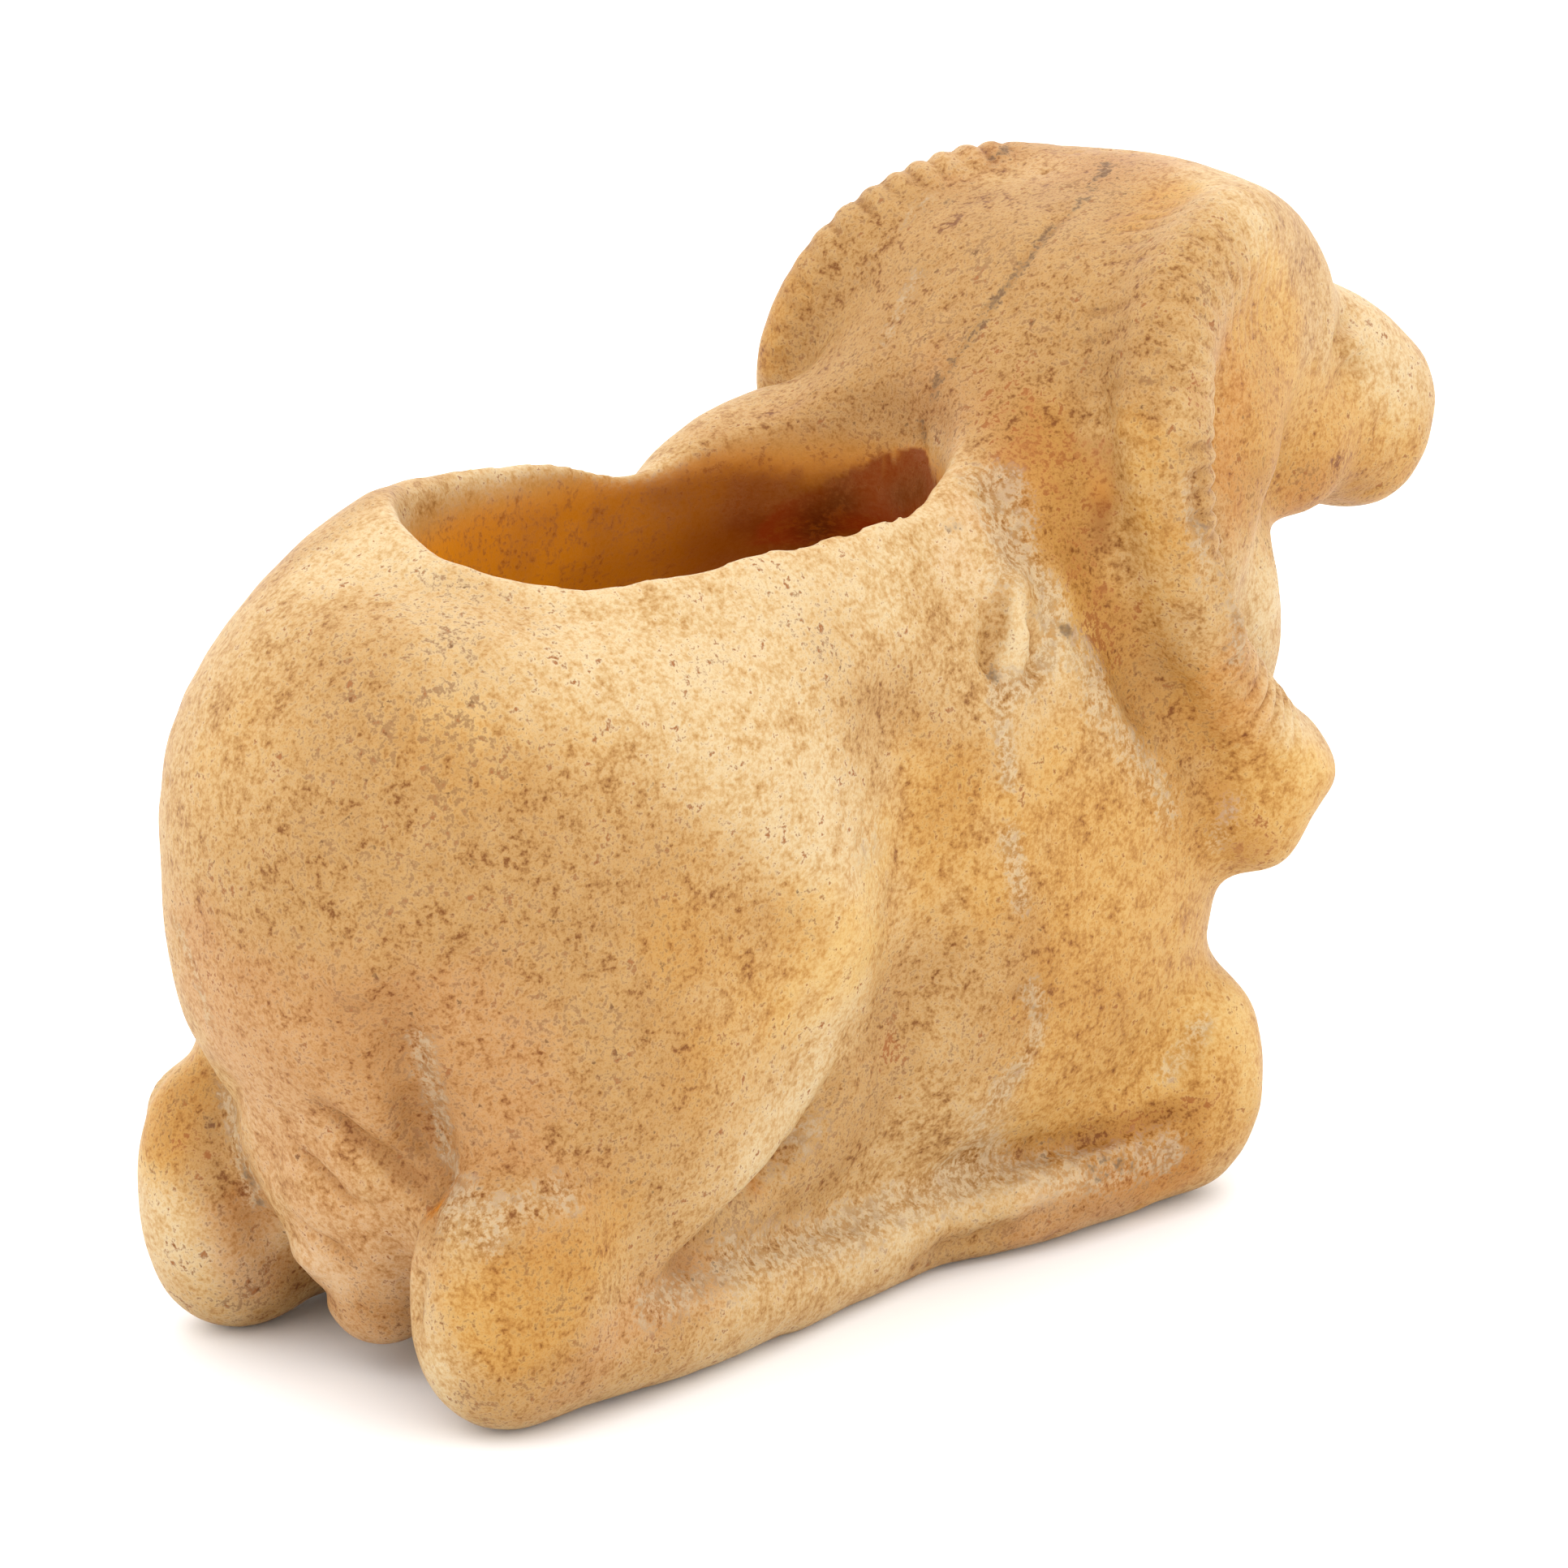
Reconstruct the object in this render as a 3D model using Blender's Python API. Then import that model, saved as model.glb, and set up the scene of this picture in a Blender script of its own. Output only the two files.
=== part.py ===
"""Recumbent ibex carved from one block of alabaster, hollowed as a small open vessel.

The animal looks along +X, its left side is +Y and it rests on Z = 0. The free form is written in
units of one hundred-and-fourth of its length. The mouth, the hollow and the walls are real sizes.
"""

import math

import bmesh
import bpy
import numpy as np
from mathutils import Matrix, Vector

# Driving dimensions in metres.
LENGTH = 0.104
MOUTH_LENGTH = 0.0413
MOUTH_WIDTH = 0.0245
MOUTH_CENTRE = -0.0151
LIP_FLARE = 0.0012
WALL = 0.0048
FLOOR_THICKNESS = 0.011
HOLLOW_UNDERCUT = 0.006
RIM_HEIGHT = 0.0505
SKIN_STEP = 0.0007
SKIN_TRIANGLES = 6300

# The free form's own unit, and the place in those units that stands over the origin.
FORM_SPAN = 104.0
UNIT = LENGTH / FORM_SPAN
FORM_MIDDLE = Vector((3.4, 0.0, 0.0))

ALABASTER_COLOUR = (0.74, 0.52, 0.28, 1.0)
ALABASTER_ROUGHNESS = 0.5
RING_SIDES = 28
BLOCK_CUTS = 15
CAP_RINGS = 5
CURVE_STEPS = 12
LIMB_STEPS = 28
CORE_STEPS = 60
CHISEL_STEPS = 6

# Turns of smoothing: where the forms melt together, in the hollow, and after it is cut.
MELT_TURNS = 14
HOLLOW_TURNS = 8
CUT_TURNS = 10

# Strokes of the chisel fade over this share of their length, down to this share of their depth.
FADE_SHARE = 0.2
FADE_LEAST = 0.3

# Centre and reach of the trunk, which the hollow follows at one wall's distance, and how far each
# lies between an ellipsoid and a box.
TRUNK_CENTRE = (-18.5, 0.0, 31.6)
TRUNK_REACH = (30.0, 17.9, 23.2)
TRUNK_SQUARENESS = 2.4
HOLLOW_SQUARENESS = 3.0
MOUTH_SQUARENESS = 2.2
FLARE_RISE = 3.0

# The right horn from the brow over the head, down the neck and forward to its tip.
HORN = ((38.0, -4.0, 56.8, 3.2, 4.2), (31.5, -7.2, 60.2, 3.2, 4.5), (25.0, -10.4, 61.3, 3.2, 4.4),
        (18.4, -13.1, 58.9, 3.1, 4.1), (15.0, -15.5, 53.5, 3.1, 3.7), (14.9, -16.1, 47.0, 2.9, 3.3),
        (17.2, -15.9, 40.0, 2.8, 3.1), (21.0, -15.4, 34.6, 3.0, 3.4), (24.6, -14.9, 30.8, 3.5, 4.1),
        (27.6, -14.3, 28.0, 4.0, 4.4))
RIB_PITCH = 1.5
RIB_DEPTH = 0.3
RIB_SIDES = 11
RIB_TROUGH = 0.25
HORN_CORE_INSET = 0.7


def clear_scene():
    """Removes every object of the open scene."""
    for item in list(bpy.data.objects):
        bpy.data.objects.remove(item, do_unlink=True)


def to_metres(place):
    """Turns a place in form units into metres about the origin."""
    return (Vector(place) - FORM_MIDDLE) * UNIT


def to_form(metres):
    """Turns a length in metres into form units."""
    return metres / UNIT


def link(name, mesh):
    """Puts a mesh in the scene as a named object."""
    item = bpy.data.objects.new(name, mesh)
    bpy.context.scene.collection.objects.link(item)
    return item


def link_form(name, form):
    """Turns a finished form into a named object."""
    bmesh.ops.recalc_face_normals(form, faces=form.faces)
    mesh = bpy.data.meshes.new(name)
    form.to_mesh(mesh)
    form.free()
    return link(name, mesh)


def round_block(form, centre, radii, squareness=2.0, lean=0.0):
    """Adds a block between an ellipsoid (2) and a box (8), leaned forward about Y by degrees."""
    block = bmesh.new()
    bmesh.ops.create_cube(block, size=2.0)
    bmesh.ops.subdivide_edges(block, edges=block.edges[:], cuts=BLOCK_CUTS, use_grid_fill=True)
    turn = Matrix.Rotation(math.radians(lean), 3, "Y")
    for vert in block.verts:
        direction = Vector(math.tan(c * math.pi / 4) for c in vert.co)
        reach = sum(abs(c) ** squareness for c in direction) ** (1 / squareness)
        shaped = Vector(c / reach * r for c, r in zip(direction, radii))
        vert.co = to_metres(Vector(centre) + turn @ shaped)
    mesh = bpy.data.meshes.new("block")
    block.to_mesh(mesh)
    block.free()
    form.from_mesh(mesh)
    bpy.data.meshes.remove(mesh)


def smooth_path(points, count):
    """Reads places at even steps of length from a smooth curve through a few points."""
    points = np.array(points, float)
    padded = np.vstack((2 * points[0] - points[1], points, 2 * points[-1] - points[-2]))
    fine = []
    for a, b, c, d in zip(padded, padded[1:], padded[2:], padded[3:]):
        for f in np.arange(0, 1, 1 / CURVE_STEPS):
            fine.append(0.5 * (2 * b + (c - a) * f + (2 * a - 5 * b + 4 * c - d) * f * f
                               + (3 * b - a - 3 * c + d) * f ** 3))
    fine = np.array(fine + [points[-1]])
    run = np.append(0, np.cumsum(np.linalg.norm(np.diff(fine[:, :3], axis=0), axis=1)))
    even = np.linspace(0, run[-1], count)
    return np.column_stack([np.interp(even, run, column) for column in fine.T])


def path_length(points):
    """Length of the smooth curve through a few points."""
    places = smooth_path(points, CURVE_STEPS * len(points))[:, :3]
    return np.linalg.norm(np.diff(places, axis=0), axis=1).sum()


def rounded(share, squareness):
    """Cosine or sine of a ring between an ellipse (2) and a box (8)."""
    return math.copysign(abs(share) ** (2 / squareness), share)


def limb(form, points, steps=LIMB_STEPS, sides=RING_SIDES, squareness=2.0, rib=0.0):
    """Adds a round-ended limb through points (x, y, z, half width along Y, half depth).

    With a rib, every other ring stands that much prouder.
    """
    places = smooth_path(points, steps)
    places[1::2, 3:] += rib
    middle = [Vector(p[:3]) for p in places]
    quarter = [k / CAP_RINGS * math.pi / 2 for k in range(1, CAP_RINGS)]
    rings = []
    for i, place in enumerate(places):
        ahead = (middle[min(i + 1, steps - 1)] - middle[max(i - 1, 0)]).normalized()
        across = Vector((0.0, 1.0, 0.0))
        across = (across - ahead * ahead.dot(across)).normalized()
        deep = ahead.cross(across)
        shares = [(0.0, 1.0)]
        if i == 0:
            shares = [(-math.cos(q), math.sin(q)) for q in quarter] + shares
        if i == steps - 1:
            shares += [(math.sin(q), math.cos(q)) for q in quarter]
        for along, size in shares:
            centre = middle[i] + ahead * along * min(place[3], place[4])
            ring = []
            for k in range(sides):
                angle = 2 * math.pi * k / sides
                spoke = (across * rounded(math.cos(angle), squareness) * place[3]
                         + deep * rounded(math.sin(angle), squareness) * place[4])
                ring.append(form.verts.new(to_metres(centre + spoke * size)))
            rings.append(ring)
    for low, high in zip(rings, rings[1:]):
        for k in range(sides):
            n = (k + 1) % sides
            form.faces.new((low[k], low[n], high[n], high[k]))
    form.faces.new(list(reversed(rings[0])))
    form.faces.new(rings[-1])


def mirrored(places):
    """The same place, or list of places, on the animal's other side."""
    if isinstance(places[0], (int, float)):
        return (places[0], -places[1], *places[2:])
    return tuple(mirrored(place) for place in places)


def both_sides(add, form, places, *rest, **named):
    """Adds a form on the animal's right as written, and mirrored on its left."""
    add(form, places, *rest, **named)
    add(form, mirrored(places), *rest, **named)


def trunk(form):
    """Rump, barrel, shoulders and the higher left shoulder beside the neck."""
    round_block(form, TRUNK_CENTRE, TRUNK_REACH, TRUNK_SQUARENESS)
    round_block(form, (-18.8, 0.0, 21.5), (26.2, 16.0, 20.5), 2.3)
    round_block(form, (6.0, 0.0, 27.0), (22.5, 16.8, 25.2), 2.7)
    round_block(form, (5.5, 11.5, 44.4), (12.0, 4.6, 7.2), 2.4, lean=-12)


def neck(form):
    """The broad neck that rises from the front of the mouth to the back of the head."""
    limb(form, ((10.5, 0.0, 36.0, 15.8, 17.7), (17.5, 0.0, 45.0, 15.4, 13.6),
                (23.5, 0.0, 53.2, 13.6, 11.2), (29.5, 0.0, 57.0, 10.4, 8.8)), squareness=2.7)
    # The hood between the horns, as high as they are.
    limb(form, ((20.5, 0.0, 50.0, 12.4, 10.6), (23.5, 0.0, 53.2, 14.2, 11.2),
                (29.5, 0.0, 57.0, 11.2, 8.8)), squareness=4.2)
    round_block(form, (24.5, 0.0, 36.0), (11.8, 11.5, 17.0), 2.3)


def head(form):
    """Skull, jaw and the blunt muzzle."""
    round_block(form, (33.4, 0.0, 52.5), (9.6, 9.2, 10.8), 2.4, lean=25)
    limb(form, ((34.0, 0.0, 50.0, 8.6, 8.6), (41.0, 0.0, 48.7, 7.2, 7.8), (46.0, 0.0, 47.0, 6.5, 7.4),
                (49.6, 0.0, 45.2, 6.0, 6.6)), squareness=2.5)
    both_sides(round_block, form, (37.0, -5.4, 46.0), (6.4, 3.0, 4.8), 2.2, lean=20)


def haunches(form):
    """Thighs, hocks and the hind feet that lie along the ground."""
    both_sides(round_block, form, (-26.5, -9.4, 23.0), (14.5, 8.3, 21.0), 2.2)
    both_sides(round_block, form, (-37.6, -12.4, 8.9), (6.8, 5.4, 9.2), 2.3)
    both_sides(limb, form, ((-37.0, -12.8, 5.4, 4.4, 5.2), (-26.0, -13.0, 4.4, 4.0, 4.6),
                            (-10.5, -11.4, 3.3, 3.2, 3.5), (-1.5, -10.4, 3.2, 3.0, 3.4)))


def forelegs(form):
    """Knees and the forefeet folded back beneath the chest."""
    both_sides(round_block, form, (20.8, -11.0, 8.0), (6.9, 5.8, 8.2), 2.3)
    both_sides(limb, form, ((20.0, -11.2, 5.2, 4.6, 5.4), (9.0, -11.2, 4.4, 4.4, 4.6),
                            (0.5, -10.0, 3.6, 3.8, 3.8)))


def horns(form):
    """The cores of two long horns and their heavy blunt tips, which rest against the chest."""
    both_sides(limb, form, thinned(HORN, HORN_CORE_INSET), steps=CORE_STEPS)
    both_sides(round_block, form, (25.2, -13.7, 26.8), (6.3, 4.7, 5.0), 2.5, lean=38)


def thinned(path, inset):
    """A limb's places with both half thicknesses reduced."""
    return tuple((*place[:3], place[3] - inset, place[4] - inset) for place in path)


def horn_rings(name, path):
    """The ringed outer skin of one horn, prouder than the core beneath it."""
    form = bmesh.new()
    count = 2 * round(path_length(path) / RIB_PITCH) + 1
    limb(form, thinned(path, RIB_TROUGH), steps=count, sides=RIB_SIDES, rib=RIB_DEPTH)
    return link_form(name, form)


def tail(form):
    """The broad tail that hangs between the thighs."""
    limb(form, ((-38.0, 0.0, 38.0, 9.5, 7.6), (-40.0, 0.0, 26.0, 8.6, 5.4),
                (-39.8, 0.0, 14.0, 7.0, 4.2), (-37.5, 0.0, 4.2, 4.0, 2.8)))


def belly(form):
    """The underside between the legs, which shares their flat resting face."""
    round_block(form, (-8.0, 0.0, 8.0), (29.0, 12.0, 9.0), 3.0)


def build_ibex():
    """Overlaps the forms that one stone is carved into."""
    form = bmesh.new()
    for add in (trunk, neck, head, haunches, forelegs, horns, tail, belly):
        add(form)
    return link_form("ibex_vessel", form)


def hollow_cutter():
    """The hollow inside the walls, the mouth above it and the flare of its lip."""
    form = bmesh.new()
    wall, floor, rim = to_form(WALL), to_form(FLOOR_THICKNESS), to_form(RIM_HEIGHT)
    half_length, half_width = to_form(MOUTH_LENGTH) / 2, to_form(MOUTH_WIDTH) / 2
    flare = to_form(LIP_FLARE)
    middle = to_form(MOUTH_CENTRE) + FORM_MIDDLE.x
    front = middle + half_length + to_form(HOLLOW_UNDERCUT)
    rear = TRUNK_CENTRE[0] - TRUNK_REACH[0] + wall
    roof = rim - wall / 2
    round_block(form, ((front + rear) / 2, 0.0, (roof + floor) / 2),
                ((front - rear) / 2, TRUNK_REACH[1] - wall, (roof - floor) / 2), HOLLOW_SQUARENESS)
    round_block(form, (middle, 0.0, rim), (half_length - flare, half_width - flare, rim - floor),
                MOUTH_SQUARENESS)
    round_block(form, (middle, 0.0, rim + FLARE_RISE), (half_length, half_width, 2 * FLARE_RISE),
                MOUTH_SQUARENESS)
    return link_form("hollow_cutter", form)


def ground_cutter():
    """Everything below the resting face."""
    bpy.ops.mesh.primitive_cube_add(size=2 * LENGTH, location=(0.0, 0.0, -LENGTH))
    cutter = bpy.context.object
    cutter.name = "ground_cutter"
    return cutter


def add_remesh(item):
    """Melts overlapping forms into one skin of small even faces."""
    melt = item.modifiers.new("melt", "REMESH")
    melt.mode = "VOXEL"
    melt.voxel_size = SKIN_STEP


def add_smooth(item, turns):
    """Softens the joins between forms."""
    soften = item.modifiers.new("soften", "SMOOTH")
    soften.factor = 0.5
    soften.iterations = turns


def add_boolean(item, other, operation):
    """Cuts one closed shape out of another, or joins them into one body."""
    boolean = item.modifiers.new(other.name, "BOOLEAN")
    boolean.operation = operation
    boolean.solver = "EXACT"
    boolean.object = other
    other.hide_render = True
    other.display_type = "WIRE"


def apply_modifiers(item):
    """Turns the evaluated shape into the object's own mesh."""
    graph = bpy.context.evaluated_depsgraph_get()
    mesh = bpy.data.meshes.new_from_object(item.evaluated_get(graph))
    item.modifiers.clear()
    item.data = mesh


def nearest_on_path(points, path):
    """Distance of each point from a path, and the share of the path at its nearest place."""
    best = np.full(len(points), 1e9)
    along = np.zeros(len(points))
    run = 0.0
    for a, b in zip(path, path[1:]):
        span = b - a
        length = np.linalg.norm(span)
        share = np.clip((points - a) @ span / length ** 2, 0, 1)
        gap = np.linalg.norm(points - a - share[:, None] * span, axis=1)
        closer = gap < best
        best[closer] = gap[closer]
        along[closer] = run + share[closer] * length
        run += length
    return best, along / run


class Chisel:
    """Works the skin of the stone by moving its points, in form units."""

    def __init__(self, item):
        self.mesh = item.data
        count = len(self.mesh.vertices)
        flat = np.empty(count * 3)
        self.mesh.vertices.foreach_get("co", flat)
        self.points = flat.reshape(-1, 3) / UNIT + np.array(FORM_MIDDLE)
        self.mesh.vertices.foreach_get("normal", flat)
        self.normals = flat.reshape(-1, 3).copy()

    def sides(self, path, both):
        """The smooth path itself, and its mirror image where both sides have it."""
        right = smooth_path(path, CHISEL_STEPS * len(path))
        yield right
        if both:
            yield right * np.array((1.0, -1.0, 1.0))

    def groove(self, path, width, depth, both=True):
        """Sinks a groove that fades at both ends, or raises a ridge where depth is negative."""
        for side in self.sides(path, both):
            gap, share = nearest_on_path(self.points, side)
            ends = np.clip(np.minimum(share, 1 - share) / FADE_SHARE, FADE_LEAST, 1)
            self.points -= self.normals * (depth * ends * np.exp(-(gap / width) ** 2))[:, None]

    def push(self, path, width, offset, both=False):
        """Moves everything near a path by one offset."""
        for side in self.sides(path, both):
            gap, _ = nearest_on_path(self.points, side)
            self.points += np.exp(-(gap / width) ** 2)[:, None] * np.array(offset)

    def finish(self):
        """Writes the worked points back."""
        metres = (self.points - np.array(FORM_MIDDLE)) * UNIT
        self.mesh.vertices.foreach_set("co", metres.ravel())
        self.mesh.update()


def carve(vessel):
    """Muscles, folds, tail strands, ears, eyes and horn rings."""
    chisel = Chisel(vessel)
    # The near wall of the mouth is lower than the far one, and both dip and rise a little.
    chisel.push(((-34, -3, 52), (-31, -7.5, 51), (-24, -11.5, 50)), 6.5, (0, 0, -2.5))
    chisel.push(((-18.5, -12, 49), (-15.5, -12, 49)), 4.5, (0, 0, -1.2))
    chisel.push(((-3, -11, 49), (1.5, -10, 49)), 4.0, (0, 0, 0.9))
    chisel.push(((-33, 5, 51), (-27, 11, 51), (-14, 13, 51)), 6.0, (0, 0, 0.5))
    chisel.push(((-9, 12, 50), (-6, 12, 50)), 3.0, (0, 0, -0.5))
    chisel.push(((-41, 12, 37), (-42, 12, 24)), 9.0, (-0.5, 0.45, 0))
    # The horn tips are wedges, cut away below in front.
    chisel.push(((29.6, -11, 23.6), (29.2, -18, 23.6)), 3.6, (-1.1, 0, 1.3), both=True)
    # Crest of the thigh and the hollow flank in front of it.
    chisel.groove(((-26, -16, 44), (-21, -17.5, 37.5), (-15.5, -17.5, 29), (-14.5, -16.5, 21)), 3.2, -0.8)
    chisel.groove(((-9, -15.5, 45), (-8.5, -17, 36), (-7.5, -16.5, 25), (-8, -15, 14)), 4.6, 1.7)
    chisel.groove(((-12, -16, 19), (-14.5, -15.5, 13.8), (-21, -15.5, 10), (-28, -16.5, 7)), 1.8, 0.9)
    # Seams beside the hanging tail, with its slanting strands.
    chisel.groove(((-44.6, -9.4, 32), (-43.4, -9.8, 26), (-41.4, -9.4, 18), (-41, -9, 12),
                   (-39.5, -6.5, 5)), 1.5, 1.0)
    strand = 0.9
    chisel.groove(((-45.5, -3.6, 19.8), (-43.6, -6, 17.4), (-41.8, -8.6, 15)), strand, 0.55)
    chisel.groove(((-45, -0.4, 16.4), (-43.4, -4, 13.4)), strand, 0.5)
    chisel.groove(((-43.6, -1.4, 11), (-42.2, -3, 9)), strand, 0.4)
    # Fold between the forefoot and the belly, and the crease behind the knee.
    chisel.groove(((-3, -12.6, 6.6), (2, -13.6, 7), (8, -14.6, 7.4), (15, -15.6, 7.8)), 1.3, 1.0)
    chisel.groove(((19.5, -16, 14), (17.2, -16, 11.4), (15.4, -15.6, 8.6)), 1.5, 0.8)
    chisel.groove(((-30, -16.5, 8), (-22, -15.8, 7.8), (-13, -13.6, 7), (-6, -12, 6)), 1.2, 0.7)
    # Deep cuts in front of and behind each hanging horn.
    chisel.groove(((20, -12.5, 60.5), (18.6, -14.8, 55), (18.4, -15.6, 48), (19.6, -15.6, 42),
                   (24, -15, 36)), 1.6, 1.6)
    chisel.groove(((10.6, -13.6, 53), (10.2, -15.6, 46), (12.4, -16.4, 39), (16.8, -16.2, 33)), 2.0, 1.1)
    # The laid-back ear ends in a leaf on the shoulder.
    chisel.groove(((3.2, -13.2, 46), (3, -14.4, 43), (2.6, -15.6, 40.4)), 1.6, -0.9)
    chisel.groove(((1, -13.4, 45.8), (0.4, -14.8, 42.4), (0.2, -15.6, 39.6)), 1.0, 0.5)
    chisel.groove(((5.6, -13.6, 45.8), (5.6, -14.8, 42.4), (5, -15.8, 39.4)), 1.0, 0.5)
    # Eyes under the brow, nostrils and the mouth.
    chisel.groove(((44, -5.2, 54), (42, -6.8, 53.2), (39.6, -8, 52.6)), 1.0, 0.6)
    chisel.groove(((44.5, -5.6, 51.2), (42, -7, 50.4), (39.8, -8, 50)), 1.0, 0.5)
    chisel.groove(((43.4, -6.2, 52.5), (41.2, -7.4, 51.7)), 1.0, -0.7)
    chisel.groove(((56.4, -1.2, 41.2), (54.8, -4, 41), (51, -5.9, 41.4), (46.5, -6.6, 42.6)), 0.8, 0.8)
    chisel.groove(((56.4, -2.2, 45.4), (55.4, -3.6, 46.6)), 0.8, 0.7)
    chisel.finish()


def alabaster():
    """Honey-coloured translucent stone."""
    material = bpy.data.materials.new("alabaster")
    material.use_nodes = True
    shader = material.node_tree.nodes["Principled BSDF"]
    shader.inputs["Base Color"].default_value = ALABASTER_COLOUR
    shader.inputs["Roughness"].default_value = ALABASTER_ROUGHNESS
    shader.inputs["Metallic"].default_value = 0.0
    return material


def main():
    """Builds the vessel from its overlapping forms to the worked and thinned stone."""
    clear_scene()
    vessel = build_ibex()
    add_remesh(vessel)
    add_smooth(vessel, MELT_TURNS)
    apply_modifiers(vessel)
    hollow = hollow_cutter()
    add_remesh(hollow)
    add_smooth(hollow, HOLLOW_TURNS)
    add_boolean(vessel, hollow, "DIFFERENCE")
    add_remesh(vessel)
    add_smooth(vessel, CUT_TURNS)
    apply_modifiers(vessel)
    carve(vessel)
    thin = vessel.modifiers.new("thin", "DECIMATE")
    thin.ratio = min(1.0, SKIN_TRIANGLES / (2 * len(vessel.data.polygons)))
    add_boolean(vessel, horn_rings("right_horn_rings", HORN), "UNION")
    add_boolean(vessel, horn_rings("left_horn_rings", mirrored(HORN)), "UNION")
    add_boolean(vessel, ground_cutter(), "DIFFERENCE")
    vessel.data.shade_smooth()
    vessel.data.materials.append(alabaster())


main()
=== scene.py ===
"""Dresses a small alabaster vessel, carved as a resting ibex, for a plain studio picture.

The stone is worked in carving millimetres: X towards the muzzle, Y towards the animal's left side
and Z up from the resting plane. Marks that the photograph shows are written as places of its
picture, and are cast onto the stone through the same camera.
"""

import itertools
import math

import bpy
import numpy as np
from mathutils import Matrix, Vector
from mathutils.bvhtree import BVHTree


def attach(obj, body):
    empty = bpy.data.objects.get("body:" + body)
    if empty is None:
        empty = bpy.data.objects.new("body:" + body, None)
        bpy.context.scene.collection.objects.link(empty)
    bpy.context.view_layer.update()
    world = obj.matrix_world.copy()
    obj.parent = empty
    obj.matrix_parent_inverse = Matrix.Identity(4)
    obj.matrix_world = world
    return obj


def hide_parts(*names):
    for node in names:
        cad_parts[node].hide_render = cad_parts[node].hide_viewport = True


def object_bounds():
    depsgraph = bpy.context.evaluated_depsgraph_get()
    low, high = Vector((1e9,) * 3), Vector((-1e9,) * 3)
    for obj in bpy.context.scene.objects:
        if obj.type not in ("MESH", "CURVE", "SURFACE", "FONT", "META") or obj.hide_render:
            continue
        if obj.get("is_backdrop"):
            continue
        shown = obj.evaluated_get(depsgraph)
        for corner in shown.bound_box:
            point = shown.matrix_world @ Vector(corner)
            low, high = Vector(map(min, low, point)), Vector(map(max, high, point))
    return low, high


bl_info = {
    "name": "Ibex-shaped alabaster vessel",
    "version": (1, 0, 0),
    "blender": (4, 5, 0),
    "location": "3D View > Sidebar > Vessel",
    "description": "Carves and colours a small stone vessel shaped as a resting ibex",
    "category": "Object",
}

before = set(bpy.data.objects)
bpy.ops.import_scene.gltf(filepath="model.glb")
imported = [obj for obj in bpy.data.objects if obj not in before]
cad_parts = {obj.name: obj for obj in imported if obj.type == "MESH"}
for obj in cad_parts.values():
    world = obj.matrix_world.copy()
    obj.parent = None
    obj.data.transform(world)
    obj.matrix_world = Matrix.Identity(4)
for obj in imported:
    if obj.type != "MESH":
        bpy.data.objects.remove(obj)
cad_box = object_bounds()

MM = 0.001
NODE = "ibex_vessel"
CARVING_ORIGIN = np.array((3.4, 0.0, 0.0))
GROUND_PLAY = 0.02
BOTH_SIDES = np.array((1.0, -1.0, 1.0))

# The picture: the camera's place is found from the outline of the vessel in the photograph.
PICTURE_SIZE = 1932
SENSOR = 36.0
FOCAL_PIXELS = 10192.0
CAMERA_TARGET = Vector((-6.21, 0.0, 30.176)) * MM
CAMERA_AZIMUTH = math.radians(-44.386)
CAMERA_ELEVATION = math.radians(16.632)
CAMERA_DISTANCE = 0.520

# The centre line of the right horn from the brow to the tip, and the middle of its curl.
HORN = ((38.0, -4.0, 56.8), (31.5, -7.2, 60.2), (25.0, -10.4, 61.3), (18.4, -13.1, 58.9),
        (15.0, -15.5, 53.5), (14.9, -16.1, 47.0), (17.2, -15.9, 40.0), (21.0, -15.4, 34.6),
        (24.6, -14.9, 30.8), (27.6, -14.3, 28.0))
CURL_MIDDLE = np.array((27.0, 46.0))
HORN_REACH = 6.0
FREE_HORN = 30.0
SCALLOP_PITCH = 1.5
SCALLOP_HEIGHT = 0.45
SCALLOP_DRIFT = 0.22
SCALLOP_END = (54.0, 58.0)
CROWN_HEIGHT = 0.16
CROWN_START = (10.0, 14.0)

# The hollow, as it is seen from above.
HOLLOW_MIDDLE = np.array((-12.5, 0.0, 31.0))
HOLLOW_ENDS = (-45.5, 16.0)
HOLLOW_SIDE = 14.0
HOLLOW_FLOOR = 10.0
LIP_LEVEL = 51.0

# The skin is evened out in turns of smoothing, and of giving the lost bulk back.
EVEN_ALL = (16, 24)
EVEN_HOOD = (110, 120)
EVEN_HORNS = (26, 30)
HOOD_LEVEL = (52.5, 55.5)
HOOD_FRONT = (6.0, 10.0)

# Wear: unevenness as the size of its lumps, height and seed; pits as number, seed, widths, depths.
UNEVENNESS = ((9.0, 0.14, 21), (3.6, 0.07, 22), (1.6, 0.035, 23))
CRUST_UNEVENNESS = (0.9, 0.12, 24)
SKIN_PITS = (700, 31, (0.25, 0.45), (0.05, 0.12))
CRUST_PITS = (400, 32, (0.25, 0.5), (0.08, 0.2))

# Clouds in the stone's tone, as size and seed: broad ones, clouds, patches and mottles.
CLOUDS = ((14.0, 41), (5.0, 42), (2.4, 43), (1.1, 44))
SUNK_TURNS = 8
SUNK_DEPTH = 0.12

# The way to the broad light: above and behind, so that the shadow falls towards the camera.
KEY_FROM = (0.3, 0.4, 0.87)

CURVE_STEPS = 12
FADE_SHARE = 0.2
FADE_LEAST = 0.25

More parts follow.
